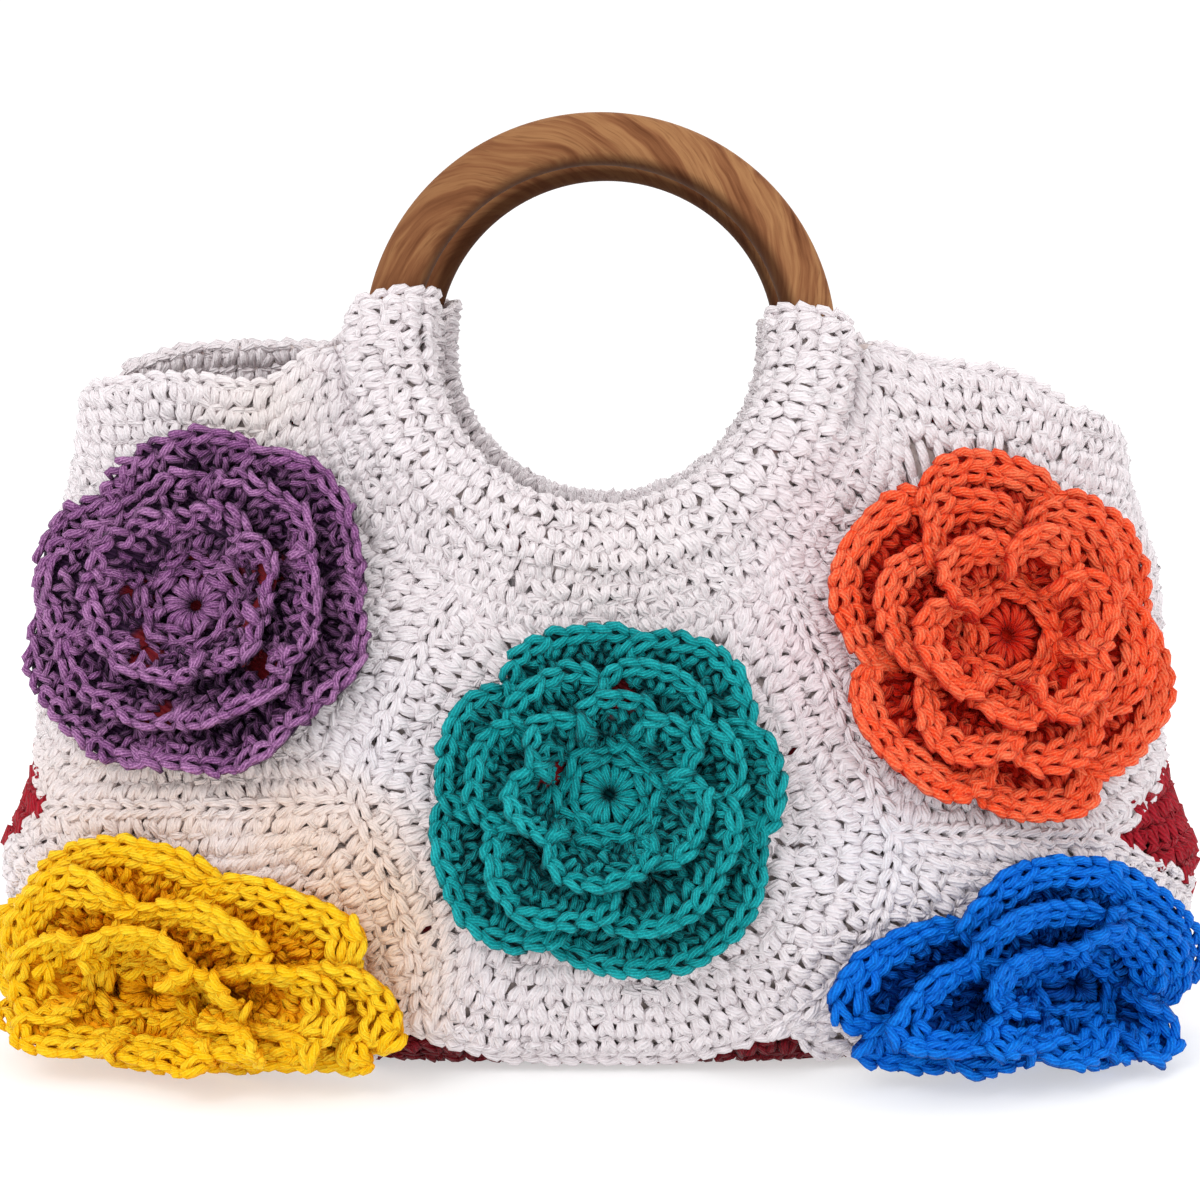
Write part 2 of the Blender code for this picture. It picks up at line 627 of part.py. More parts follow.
def make_lining():
    """A thin red lining, open at the mouth, that follows the walls and the base inside."""
    front = np.concatenate([
        rim_line(FRONT_RIM_LEFT, front_angle)[::-1],
        neck_arc(RING_FRONT, -172, -8, 10),
        rim_line(FRONT_RIM_RIGHT, front_angle),
    ])
    back = np.concatenate([
        rim_line(BACK_RIM_RIGHT, back_angle)[::-1],
        neck_arc(RING_BACK, -8, -172, 10),
        rim_line(BACK_RIM_LEFT, back_angle),
    ])
    back[:, 0] = np.where(back[:, 0] < 0, back[:, 0] + 2 * math.pi, back[:, 0])
    side = math.radians(LINING_SIDE)
    top = np.concatenate([front, [[side, RIGHT.corner]], back, [[2 * math.pi - side, LEFT.corner]]])
    heights = top[:, 1] - LINING_BELOW_RIM
    place = body_point(top[:, 0], heights)
    foot_x = place[:, 0] * BOTTOM_SHRINK
    foot_low = front_angle(foot_x, LINING_FLOOR)
    on_front = np.cos(top[:, 0]) > 0
    foot = np.where(on_front, foot_low, math.pi - foot_low)
    foot = np.where(foot < top[:, 0] - math.pi, foot + 2 * math.pi, foot)
    outside = LINING_INSET
    inside = LINING_INSET + LINING_THICKNESS
    walls = {}
    for inset in (outside, inside):
        rows = []
        for part in LINING_ROWS:
            low = LINING_FLOOR + (inset - outside)
            angle = foot + (top[:, 0] - foot) * part
            rows.append(body_point(angle, low + (heights - low) * part, inset))
        walls[inset] = rows
    low_hub = np.array([0, 0, LINING_FLOOR])
    high_hub = np.array([0, 0, LINING_FLOOR + LINING_THICKNESS])
    add_pointed("lining", low_hub, walls[outside] + walls[inside][::-1], high_hub, RED)


def clear_scene():
    for item in list(bpy.data.objects):
        bpy.data.objects.remove(item, do_unlink=True)


def main():
    clear_scene()
    make_rings()
    make_motifs()
    make_roses()
    make_gusset(LEFT)
    make_gusset(RIGHT)
    make_back()
    make_base()
    make_lining()


main()
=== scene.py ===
"""Looks of a crocheted handbag with two wooden ring handles and five layered roses.

Every stitch is a short length of yarn swept as a tube along a smooth curve. Lengths in the tables are
millimetres, and the meshes are metres. The front faces -Y, X runs to the right and Z is up.
"""
import logging
import math
from collections.abc import Callable
from dataclasses import dataclass
from enum import Enum

import bpy
import numpy as np
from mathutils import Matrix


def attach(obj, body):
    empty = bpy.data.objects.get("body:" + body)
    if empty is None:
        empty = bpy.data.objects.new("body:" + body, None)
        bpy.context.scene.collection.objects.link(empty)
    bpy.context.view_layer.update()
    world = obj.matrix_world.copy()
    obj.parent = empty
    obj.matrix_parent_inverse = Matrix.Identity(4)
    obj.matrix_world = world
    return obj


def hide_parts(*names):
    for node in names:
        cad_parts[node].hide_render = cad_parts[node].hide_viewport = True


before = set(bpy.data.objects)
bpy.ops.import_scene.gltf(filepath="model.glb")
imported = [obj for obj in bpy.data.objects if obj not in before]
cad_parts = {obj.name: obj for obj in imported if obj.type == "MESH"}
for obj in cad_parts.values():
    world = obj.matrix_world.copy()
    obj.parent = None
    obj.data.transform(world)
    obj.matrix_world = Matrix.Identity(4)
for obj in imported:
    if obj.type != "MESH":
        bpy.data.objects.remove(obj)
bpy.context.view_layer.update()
MM = 0.001
FLOOR_GAP = 0.05
EASE_WIDTH = 0.6
TALLEST_STITCH = 1.25
SIZE_SPREAD = 0.06
JITTER_SHARES = (0.22, 0.22, 1.0)
BODY = "root"
Array = np.ndarray
Triple = tuple[float, float, float]
LOG = logging.getLogger("bag")


def unit(vectors: Array) -> Array:
    """Vectors divided by their own lengths."""
    return vectors / np.maximum(np.linalg.norm(vectors, axis=-1, keepdims=True), 1e-9)


def table_curve(position: Array, stations: Array, values: Array) -> Array:
    """Reads a smooth curve through a table.

    Each span is a cubic whose end slopes are the harmonic mean of its neighbours' slopes, so the
    curve never overshoots the table.

    Args:
        position: places to read.
        stations: rising places of the table.
        values: its values.

    Returns:
        One value for each place.
    """
    stations = np.asarray(stations, float)
    values = np.asarray(values, float)
    run = np.diff(stations)
    rise = np.diff(values) / run
    product = rise[:-1] * rise[1:]
    safe = np.where(product > 0, rise[:-1] + rise[1:], 1.0)
    slope = np.concatenate([rise[:1], np.where(product > 0, 2.0 * product / safe, 0.0), rise[-1:]])
    place = np.clip(position, stations[0], stations[-1])
    cell = np.clip(np.searchsorted(stations, place, side="right") - 1, 0, len(run) - 1)
    step = run[cell]
    t = (place - stations[cell]) / step
    start = values[cell] * (2 * t**3 - 3 * t**2 + 1) + slope[cell] * step * (t**3 - 2 * t**2 + t)
    end = values[cell + 1] * (3 * t**2 - 2 * t**3) + slope[cell + 1] * step * (t**3 - t**2)
    return start + end


def bend_weights(knots: int, samples: int) -> Array:
    """Weights that turn the knots of a strand into points on one smooth curve through them.

    The curve is a Catmull-Rom spline whose end knots count twice.

    Args:
        knots: how many knots a strand has.
        samples: how many points it gets.

    Returns:
        A table of samples by knots.
    """
    t = np.linspace(0, knots - 1, samples)
    cell = np.minimum(t.astype(int), knots - 2)
    f = t - cell
    basis = (
        -0.5 * f**3 + f**2 - 0.5 * f,
        1.5 * f**3 - 2.5 * f**2 + 1,
        -1.5 * f**3 + 2 * f**2 + 0.5 * f,
        0.5 * f**3 - 0.5 * f**2,
    )
    weights = np.zeros((samples, knots))
    for shift, share in enumerate(basis):
        np.add.at(weights, (np.arange(samples), np.clip(cell - 1 + shift, 0, knots - 1)), share)
    return weights


def line_lengths(line: Array) -> Array:
    """Length walked along a line at each of its points, from 0."""
    steps = np.linalg.norm(np.diff(line, axis=0), axis=1)
    return np.concatenate([[0.0], np.cumsum(steps)])


def line_at(line: Array, length: Array, walked: Array) -> Array:
    """Points of a line at given lengths walked along it."""
    return np.stack([np.interp(length, walked, line[:, i]) for i in range(line.shape[1])], axis=-1)


def evenly(line: Array, spacing: float) -> Array:
    """The same line with points about a spacing apart."""
    walked = line_lengths(line)
    count = max(2, int(round(walked[-1] / spacing)) + 1)
    return line_at(line, np.linspace(0, walked[-1], count), walked)


def smooth_loop(loop: Array, width: float) -> Array:
    """Evens out an evenly spaced closed line with a bell curve of a given width in points."""
    waves = np.fft.rfft(loop, axis=0)
    rate = np.fft.rfftfreq(len(loop)) * 2 * math.pi
    return np.fft.irfft(waves * np.exp(-0.5 * (rate * width) ** 2)[:, None], n=len(loop), axis=0)


def eased(value: Array) -> Array:
    """A smooth step from 0 to 1 as a sine or cosine passes through 0."""
    part = np.clip(value / EASE_WIDTH + 0.5, 0, 1)
    return part * part * (3 - 2 * part)


@dataclass(frozen=True)
class Yarn:
    """How thick a strand is, and how many sides and rings its tube has."""

    radius: float
    sides: int = 5
    rings: int = 6
    taper: float = 0.55
    jitter: float = 0.16


@dataclass(frozen=True)
class Cells:
    """Places of stitches: an origin each, with one step along the row, one up it and one out."""

    origin: Array
    along: Array
    up: Array
    out: Array

    def place(self, local: Array) -> Array:
        """Origin plus u steps along, v steps up and w millimetres out, for knots (cell, knot, uvw)."""
        along, up, out = (axis[:, None] * local[..., i, None] for i, axis in enumerate(self.axes()))
        return self.origin[:, None] + along + up + out

    def axes(self) -> tuple[Array, Array, Array]:
        """The three steps in the order u, v, w."""
        return self.along, self.up, self.out

    def chosen(self, keep: Array) -> "Cells":
        """The cells that a mask keeps."""
        return Cells(self.origin[keep], self.along[keep], self.up[keep], self.out[keep])

    def lifted(self, height: float) -> "Cells":
        """The same cells moved outwards."""
        return Cells(self.origin + self.out * height, self.along, self.up, self.out)

    def turned(self, angle: Array) -> "Cells":
        """The same cells, each turned about its outward direction by its own angle in radians."""
        cos, sin = np.cos(angle)[:, None], np.sin(angle)[:, None]
        along, up = self.along * cos + self.up * sin, self.up * cos - self.along * sin
        return Cells(self.origin, along, up, self.out)

    @staticmethod
    def joined(parts: list["Cells"]) -> "Cells":
        """All the cells of several rows."""
        names = ("origin", "along", "up", "out")
        return Cells(*(np.concatenate([getattr(part, name) for part in parts]) for name in names))

    @staticmethod
    def on_line(line: Array, up: Array, out: Array, pitch: float, phase: float = 0.0) -> "Cells":
        """Spaces stitches evenly along a line.

        Args:
            line: points of the row.
            up: the step to the next row, at each point.
            out: the outward direction, at each point.
            pitch: wanted width of a stitch, rounded to fill the line.
            phase: share of a stitch by which all shift along a closed line.

        Returns:
            One cell for each stitch.
        """
        walked = line_lengths(line)
        count = max(1, int(round(walked[-1] / pitch)))
        size = walked[-1] / count
        middle = (np.arange(count) + 0.5 + phase) * size
        ahead = np.minimum(middle + size / 2, walked[-1])
        behind = np.maximum(middle - size / 2, 0)
        along = unit(line_at(line, ahead, walked) - line_at(line, behind, walked)) * size
        facing = line_at(out, middle, walked)
        facing = unit(facing - along * np.sum(facing * along, axis=1, keepdims=True) / size**2)
        rise = line_at(up, middle, walked)
        tall = np.linalg.norm(rise, axis=1, keepdims=True)
        rise = rise / tall * np.minimum(tall, TALLEST_STITCH * size)
        return Cells(line_at(line, middle, walked), along, rise, facing)


class Shape:
    """Collects strands and sheets in millimetres and makes one closed mesh of them."""

    def __init__(self, seed: int) -> None:
        """Starts empty, with its own fixed run of random numbers."""
        self.points: list[Array] = []
        self.faces: list[Array] = []
        self.uvs: list[Array] = []
        self.tones: list[Array] = []
        self.depths: list[Array] = []
        self.count = 0
        self.rng = np.random.default_rng(seed)

    def add_points(self, points: Array, tone: Array, depth: Array) -> int:
        """Adds points with their tone and depth, and returns the number of the first."""
        first = self.count
        self.points.append(points)
        self.tones.append(np.broadcast_to(tone, len(points)))
        self.depths.append(np.broadcast_to(depth, len(points)))
        self.count += len(points)
        return first

    def add_faces(self, corners: Array, uv: Array) -> None:
        """Adds faces of one corner count with the UV of each corner."""
        self.faces.append(corners)
        self.uvs.append(uv)

    def add_strands(self, line: Array, out: Array, yarn: Yarn, level: Array, crest: float = 2.0,
                    relief: float = 3.4, size: Array | float = 1.0) -> None:
        """Sweeps a round section along many lines at once.

        Each ring stands square to its line, and its first side points outwards. A point's depth is
        how far it lies below the crest, as a share of the relief.

        Args:
            line: points (strand, ring, xyz).
            out: outward direction, broadcast to the line.
            yarn: thickness and face counts.
            level: height of each ring above the cloth.
            crest: height that counts as depth 0.
            relief: how far below that counts as depth 1.
            size: thickness factor, broadcast to (strand, ring).
        """
        strands, rings = line.shape[:2]
        along = unit(np.gradient(line, axis=1))
        normal = unit(out - along * np.sum(out * along, axis=-1, keepdims=True))
        side = np.cross(along, normal)
        turn = np.arange(yarn.sides) * 2 * math.pi / yarn.sides
        part = np.linspace(-1, 1, rings)
        profile = yarn.radius * (1 - (1 - yarn.taper) * np.abs(part) ** 5)
        profile = profile * np.broadcast_to(size, (strands, rings))
        normal = normal[:, :, None] * np.cos(turn)[:, None]
        side = side[:, :, None] * np.sin(turn)[:, None]
        points = line[:, :, None] + (normal + side) * profile[..., None, None]
        height = level[..., None] + profile[..., None] * np.cos(turn)
        depth = np.clip((crest - height) / relief, 0, 1)
        tone = np.repeat(self.rng.random(strands), rings * yarn.sides)
        first = self.add_points(points.reshape(-1, 3), tone, depth.ravel())
        index = first + np.arange(strands * rings * yarn.sides).reshape(strands, rings, yarn.sides)
        beside = np.roll(index, -1, axis=2)
        corners = np.stack([index[:, :-1], beside[:, :-1], beside[:, 1:], index[:, 1:]], axis=-1)
        steps = np.linalg.norm(np.diff(line, axis=1), axis=-1)
        walked = np.concatenate([np.zeros((strands, 1)), np.cumsum(steps, axis=1)], axis=1)
        walked = (walked / 10 + self.rng.random((strands, 1)))[..., None]
        low, high = np.broadcast_arrays(walked[:, :-1], walked[:, 1:], corners[..., 0])[:2]
        this = np.broadcast_to(np.arange(yarn.sides) / yarn.sides, low.shape)
        after = this + 1 / yarn.sides
        u = np.stack([low, low, high, high], axis=-1)
        v = np.stack([this, after, after, this], axis=-1)
        self.add_faces(corners.reshape(-1, 4), np.stack([u, v], axis=-1).reshape(-1, 4, 2))
        for cap in (index[:, 0, ::-1], index[:, -1]):
            self.add_faces(cap, np.zeros((*cap.shape, 2)))

    def add_stitches(self, cells: Cells, knots: Array, yarn: Yarn, lift: float = 0.0) -> None:
        """Lays one strand through the same knots in every cell.

        Args:
            cells: where the stitches are.
            knots: (knot, uvw), with u and v in stitch widths and heights and w in millimetres.
            yarn: thickness and face counts.
            lift: height added to the cells' origins above the cloth for the depth only, which deepens the
                painted shade.
        """
        if not len(cells.origin):
            return
        knots = np.asarray(knots, float)
        spread = np.array(JITTER_SHARES) * yarn.jitter
        local = knots + self.rng.normal(size=(len(cells.origin), *knots.shape)) * spread
        weights = bend_weights(len(knots), yarn.rings)
        line = weights @ cells.place(local)
        size = 1 + self.rng.normal(size=(len(line), 1)) * SIZE_SPREAD
        self.add_strands(line, cells.out[:, None], yarn, (weights @ local)[..., 2] + lift, size=size)

    def add_sheet(self, outer: Array, inner: Array, closed: bool = False, hub: bool = False,
                  depth: float = 1.0) -> None:
        """Joins two grids of points into one closed sheet with borders.

        Args:
            outer: points (row, column, xyz) of the outer side.
            inner: the same of the inner side.
            closed: whether the last column joins the first.
            hub: whether the first row closes on its own middle point.
            depth: the depth that every point gets.
        """
        rows, columns = outer.shape[:2]
        hubs = np.stack([outer[0].mean(axis=0), inner[0].mean(axis=0)]) if hub else np.zeros((0, 3))
        points = np.concatenate([outer.reshape(-1, 3), inner.reshape(-1, 3), hubs])
        first = self.add_points(points, 0.5, depth)
        face = first + np.arange(rows * columns).reshape(rows, columns)
        back = face + rows * columns
        here = slice(None) if closed else slice(0, -1)
        groups = []
        for grid, order in ((face, 1), (back, -1)):
            beside = np.roll(grid, -1, axis=1)[:, here]
            own = grid[:, here]
            corners = np.stack([own[:-1], beside[:-1], beside[1:], own[1:]], -1)
            groups.append(corners.reshape(-1, 4)[:, ::order])
        ends = [(face[-1], back[-1])] if hub else [(face[-1], back[-1]), (face[0, ::-1], back[0, ::-1])]
        if closed:
            ends = [(np.append(a, a[0]), np.append(b, b[0])) for a, b in ends]
        else:
            ends += [(face[::-1, 0], back[::-1, 0]), (face[:, -1], back[:, -1])]
        for a, b in ends[:2] if closed else ends:
            groups.append(np.stack([a[:-1], a[1:], b[1:], b[:-1]], -1))
        if not closed:
            groups[-1] = groups[-1][:, ::-1]
            groups[-2] = groups[-2][:, ::-1]
        if hub:
            top = first + 2 * rows * columns
            for grid, middle, order in ((face, top, 1), (back, top + 1, -1)):
                ring = grid[0]
                fan = np.stack([np.roll(ring, -1), ring, np.full(columns, middle)], -1)
                groups.append(fan[:, ::order])
        a, b, c = (outer[0, 0], outer[0, 1], outer[1, 0])
        inward = np.dot(np.cross(b - a, c - a), outer[0, 0] - inner[0, 0]) < 0
        for corners in groups:
            corners = corners[:, ::-1] if inward else corners
            at = points[corners - first]
            self.add_faces(corners, at[..., [0, 2]] / 10)

    def build(self, name: str, look: "Finish") -> bpy.types.Object:
        """Makes the mesh, its UV map and attributes, dresses it and rides it on the bag.

        Args:
            name: the piece's name.
            look: its finish.

        Returns:
            The new object, at the origin.
        """
        points = np.concatenate(self.points)
        points[:, 2] = np.maximum(points[:, 2], FLOOR_GAP)
        sizes = np.concatenate([np.full(len(f), f.shape[1]) for f in self.faces])
        corners = np.concatenate([f.ravel() for f in self.faces])
        mesh = bpy.data.meshes.new(name)
        mesh.vertices.add(len(points))
        mesh.vertices.foreach_set("co", (points * MM).astype(np.float32).ravel())
        mesh.loops.add(len(corners))
        mesh.loops.foreach_set("vertex_index", corners.astype(np.int32))
        mesh.polygons.add(len(sizes))
        mesh.polygons.foreach_set("loop_start", (np.cumsum(sizes) - sizes).astype(np.int32))
        mesh.update(calc_edges=True)
        layer = mesh.uv_layers.new(name="Yarn")
        uvs = np.concatenate([uv.reshape(-1, 2) for uv in self.uvs])
        layer.data.foreach_set("uv", uvs.astype(np.float32).ravel())
        for key, parts in (("tone", self.tones), ("depth", self.depths)):
            values = np.concatenate(parts).astype(np.float32)
            mesh.attributes.new(key, "FLOAT", "POINT").data.foreach_set("value", values)
        mesh.shade_smooth()
        piece = bpy.data.objects.new(name, mesh)
        bpy.context.scene.collection.objects.link(piece)
        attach(piece, BODY)
        look.dress(piece)
        LOG.info("%s: %d triangles", name, int(np.sum(sizes - 2)))
        return piece


class Value:
    """One socket, on which sums and products add Math nodes."""

    def __init__(self, graph: "Graph", socket: bpy.types.NodeSocket) -> None:
        """Wraps an output socket."""
        self.graph = graph
        self.socket = socket

    def math(self, operation: str, *others: "Value | float", first: "Value | float | None" = None) -> "Value":
        """Adds one Math node and returns its output."""
        terms = [self if first is None else first, *others]
        node = self.graph.node("ShaderNodeMath", {"operation": operation}, dict(enumerate(terms)))
        return self.graph.out(node, 0)

    def __add__(self, other: "Value | float") -> "Value":
        """Sum."""
        return self.math("ADD", other)

    def __sub__(self, other: "Value | float") -> "Value":
        """Difference."""
        return self.math("SUBTRACT", other)

    def __rsub__(self, other: float) -> "Value":
        """Difference from a number."""
        return self.math("SUBTRACT", self, first=other)

    def __mul__(self, other: "Value | float") -> "Value":
        """Product."""
        return self.math("MULTIPLY", other)

    def power(self, exponent: float) -> "Value":
        """This value raised to a power."""
        return self.math("POWER", exponent)

    def sine(self) -> "Value":
        """Sine of this value in radians."""
        return self.math("SINE")

    def clamped(self) -> "Value":
        """This value held between 0 and 1."""
        node = self.graph.node("ShaderNodeClamp", {}, {0: self})
        return self.graph.out(node, 0)


Linked = Value | float | tuple


class Graph:
    """The nodes of one material."""

    def __init__(self, name: str) -> None:
        """Makes a material with one Principled shader."""
        self.material = bpy.data.materials.new(name)
        self.material.use_nodes = True
        self.nodes = self.material.node_tree.nodes
        self.links = self.material.node_tree.links
        self.shader = self.nodes["Principled BSDF"]

    def node(self, kind: str, settings: dict[str, object], values: dict[str | int, Linked]) -> bpy.types.Node:
        """Adds one node.

        Args:
            kind: the node's type.
            settings: its properties, set first; stops are a ramp's (place, colour) pairs.
            values: numbers or links for its inputs, by name or number.

        Returns:
            The node.
        """
        node = self.nodes.new(kind)
        for key, setting in settings.items():
            if key == "stops":
                elements = node.color_ramp.elements
                for extra in range(len(setting) - 2):
                    elements.new(0.5)
                for element, (place, colour) in zip(elements, setting):
                    element.position = place
                    element.color = (*colour, 1.0)
            else:
                setattr(node, key, setting)
        for key, value in values.items():
            self.feed(node.inputs[key], value)
        return node

    def feed(self, socket: bpy.types.NodeSocket, value: Linked) -> None:
        """Links a value to a socket or sets the socket's number or colour."""
        if isinstance(value, Value):
            self.links.new(value.socket, socket)
        elif isinstance(value, tuple) and socket.type == "RGBA":
            socket.default_value = (*value, 1.0)
        else:
            socket.default_value = value

    def out(self, node: bpy.types.Node, key: str | int) -> Value:
        """One output of a node."""
        return Value(self, node.outputs[key])

    def attribute(self, name: str) -> Value:
        """A number stored on the mesh's points."""
        return self.out(self.node("ShaderNodeAttribute", {"attribute_name": name}, {}), "Fac")

    def place(self) -> Value:
        """The point's own place on the bag, in metres."""
        return self.out(self.node("ShaderNodeTexCoord", {}, {}), "Object")

    def split(self, vector: Value) -> tuple[Value, Value, Value]:
        """The three parts of a vector."""
        node = self.node("ShaderNodeSeparateXYZ", {}, {0: vector})
        return tuple(self.out(node, i) for i in range(3))

    def noise(self, where: Value, scale: float, detail: float = 2.0) -> Value:
        """Smooth noise from 0 to 1."""
        node = self.node("ShaderNodeTexNoise", {}, {"Vector": where, "Scale": scale, "Detail": detail})
        return self.out(node, "Fac")

    def mix(self, factor: Linked, first: Linked, second: Linked) -> Value:
        """Blend of two colours."""
        node = self.node("ShaderNodeMix", {"data_type": "RGBA"}, {0: factor, 6: first, 7: second})
        return self.out(node, 2)

    def bump(self, height: Value, strength: float, distance: float) -> Value:
        """A normal roughened by a height."""
        values = {"Height": height, "Strength": strength, "Distance": distance}
        return self.out(self.node("ShaderNodeBump", {}, values), "Normal")

    def finish(self, colour: Linked, normal: Value | None, **constants: float | tuple) -> bpy.types.Material:
        """Feeds the shader: a colour, a normal and plain numbers by input name, with _ for a space."""
        self.feed(self.shader.inputs["Base Color"], colour)
        if normal is not None:
            self.feed(self.shader.inputs["Normal"], normal)
        for key, value in constants.items():
            self.feed(self.shader.inputs[key.replace("_", " ").title().replace("Ior", "IOR")], value)
        return self.material


Colour = Triple


@dataclass(frozen=True)
class Finish:
    """A named look that makes its material once."""

    name: str
    slot: str

    def material(self) -> bpy.types.Material:
        """The material, made on first use."""
        return bpy.data.materials.get(self.name) or self.make()

    def make(self) -> bpy.types.Material:
        """Makes the material."""
        raise NotImplementedError

    def dress(self, piece: bpy.types.Object) -> None:
        """Puts the material on a piece."""
        piece.data.materials.clear()
        piece.data.materials.append(self.material())


@dataclass(frozen=True)
class Stain:
    """A soft patch of another colour round a place on the front."""

    x: float
    z: float
    reach: float
    colour: Colour
    strength: float


@dataclass(frozen=True)
class YarnFinish(Finish):
    """Twisted cotton yarn: colour that varies by strand, with painted shade in the gaps and ply grooves,
    painted highlight flecks and slanting plies.
    """

    colour: Colour
    painted_shade: Colour
    # light is the paler colour, used for random tone and for the painted highlight.
    light: Colour
    tints: tuple[Stain, ...] = ()
    gap_strength: float = 0.8
    groove_strength: float = 0.28
    roughness: float = 0.5
    gloss: float = 0.16
    sheen: float = 0.04
    glimpses: tuple[Stain, ...] = ()
    flecks: float = 2.6
    plies: int = 7
    twist: float = 24.0
    front_rise: float = 60.0

    def patch(self, x: Value, z: Value, tint: Stain) -> Value:
        """1 at a tint's middle, falling straight to 0 at its reach."""
        far = ((x - tint.x * MM).power(2.0) + (z - tint.z * MM).power(2.0)).power(0.5)
        return (1.0 - far * (1000.0 / tint.reach)).clamped()

    def make(self) -> bpy.types.Material:
        """Blends the colours by strand and noise with painted highlight flecks, paints shade into the gaps
        and ply grooves, and raises the plies.

        The tints fade in from the bag's middle plane towards its front, so that the back has none.
        """
        g = Graph(self.name)
        where = g.place()
        tone = g.attribute("tone")
        depth = g.attribute("depth")
        u, v, _ = g.split(g.out(g.node("ShaderNodeUVMap", {"uv_map": "Yarn"}, {}), "UV"))
        wander = g.noise(where, 160.0) * 2.0
        ply = (v * (2 * math.pi * self.plies) + u * self.twist + wander).sine() * 0.5 + 0.5
        fibre_glint = g.noise(where, 1900.0, 2.0)
        cloud = g.noise(where, 45.0)
        # Random tone by strand and noise, plus painted highlight from the glint flecks and the ply crests.
        tone_and_highlight = (tone * 0.4 + cloud * 0.5 + fibre_glint * self.flecks + ply * 0.35 - self.flecks * 0.5 - 0.2).clamped()
        colour = g.mix(tone_and_highlight, self.colour, self.light)
        x, y, z = g.split(where)
        front = (y * -self.front_rise).clamped()
        for tint in self.tints:
            mask = self.patch(x, z, tint) * (cloud * 1.5).clamped() * front
            colour = g.mix((mask * (2 * tint.strength)).clamped() * tint.strength, colour, tint.colour)
        # Painted shade: the colour darkens with the depth below the crest and in the ply grooves.
        groove = (1.0 - ply).power(3.0)
        gap = (depth.power(1.5) * self.gap_strength + groove * self.groove_strength).clamped()
        colour = g.mix(gap, colour, self.painted_shade)
        # Painted shade: spots of the lining's red, darker than the lining, where the web lies deepest.
        web = ((depth - 0.97) * 40.0).clamped()
        for spot in self.glimpses:
            mask = (self.patch(x, z, spot) * 3.0).clamped() * web * spot.strength
            colour = g.mix(mask, colour, spot.colour)
        normal = g.bump(ply + fibre_glint * 1.2, 0.8, 0.00045)
        return g.finish(colour, normal, roughness=self.roughness, specular_ior_level=self.gloss,
                        sheen_weight=self.sheen, sheen_roughness=0.4)


@dataclass(frozen=True)
class ClothFinish(Finish):
    """Dense crocheted or woven cloth seen between the stitches."""

    colour: Colour
    painted_shade: Colour
    spots: Colour
    spot_share: float = 0.0
    scale: float = 620.0

    def make(self) -> bpy.types.Material:
        """Crosses two sines into a weave whose troughs take painted shade, and lets spots of another colour
        through by noise.
        """
        g = Graph(self.name)
        where = g.place()
        x, y, z = g.split(where)
        rate = math.pi * self.scale
        weave = ((x + y) * rate).sine() * (z * rate).sine() * 0.5 + 0.5
        cloud = g.noise(where, 60.0)
        colour = g.mix((weave * 0.5 + cloud * 0.5).clamped(), self.painted_shade, self.colour)
        if self.spot_share:
            edge = g.noise(where, 95.0, 1.0) - (1.0 - self.spot_share)
            colour = g.mix((edge * 14.0).clamped(), colour, self.spots)
        normal = g.bump(weave + g.noise(where, 1400.0) * 0.4, 0.6, 0.0006)
        return g.finish(colour, normal, roughness=0.9, specular_ior_level=0.1, sheen_weight=0.03)


@dataclass(frozen=True)
class WoodFinish(Finish):
    """Oiled wood cut across growth rings that lie round a point beside the ring's middle."""

    pale: Colour
    middle: Colour
    dark: Colour
    pith: tuple[float, float] = (-0.030, 0.203)
    hub: tuple[float, float] = (0.001, 0.193)
    inner_edge: float = 0.0545
    inner_shade: float = 0.80

    def make(self) -> bpy.types.Material:
        """Draws noise out along circles round the pith, with fine lines and pores on broad rings.

        The noise reads the distance from the pith, a small share of the turn round it and of the
        depth, so that it stays long along each circle.
        """
        g = Graph(self.name)
        where = g.place()
        x, y, z = g.split(where)
        across, up = x - self.pith[0], z - self.pith[1]
        wander = (g.noise(where, 34.0) - 0.5) * 0.009
        away = (across.power(2.0) + up.power(2.0)).power(0.5) + wander
        turn = up.math("ARCTAN2", across)
        lay = g.out(g.node("ShaderNodeCombineXYZ", {}, {0: away, 1: turn * 0.0022, 2: y * 0.25}), 0)
        ring = g.noise(lay, 210.0, 4.0)
        fine = g.noise(lay, 900.0, 3.0)
        pore = g.noise(lay, 1900.0, 2.0)
        stops = [(0.33, self.dark), (0.45, self.middle), (0.56, self.pale), (0.70, self.middle)]
        mixed = (ring * 0.62 + fine * 0.38).clamped()
        ramp = g.out(g.node("ShaderNodeValToRGB", {"stops": stops}, {"Fac": mixed}), "Color")
        holes = ((pore - 0.57) * 7.0).clamped() * 0.42
        colour = g.mix(holes, ramp, self.dark)
        reddish = ((0.0 - x) * 14.0 + g.noise(where, 25.0) - 0.35).clamped() * 0.45
        colour = g.mix(reddish, colour, tuple(part * 0.72 for part in self.middle))
        # Painted shade: the ring's inner face, inside the inner edge, is darkened.
        far = ((x - self.hub[0]).power(2.0) + ((z - self.hub[1]) * 1.026).power(2.0)).power(0.5)
        inside = ((self.inner_edge - far) * 420.0).clamped() * self.inner_shade
        colour = g.mix(inside, colour, tuple(part * 0.42 for part in self.dark))
        g.feed(g.shader.inputs["Roughness"], fine * 0.2 + 0.6)
        normal = g.bump(fine * 0.6 - holes, 0.25, 0.0003)
        return g.finish(colour, normal, specular_ior_level=0.05)


@dataclass(frozen=True)
class FloorFinish(Finish):
    """A plain pale floor with the faintest mottling, which glows a little so that shadows stay light."""

    def make(self) -> bpy.types.Material:
        """Two near whites blended by wide noise."""
        g = Graph(self.name)
        colour = g.mix(g.noise(g.place(), 3.0), (0.54, 0.54, 0.54), (0.57, 0.57, 0.57))
        return g.finish(colour, None, roughness=0.9, specular_ior_level=0.0, emission_strength=0.50)


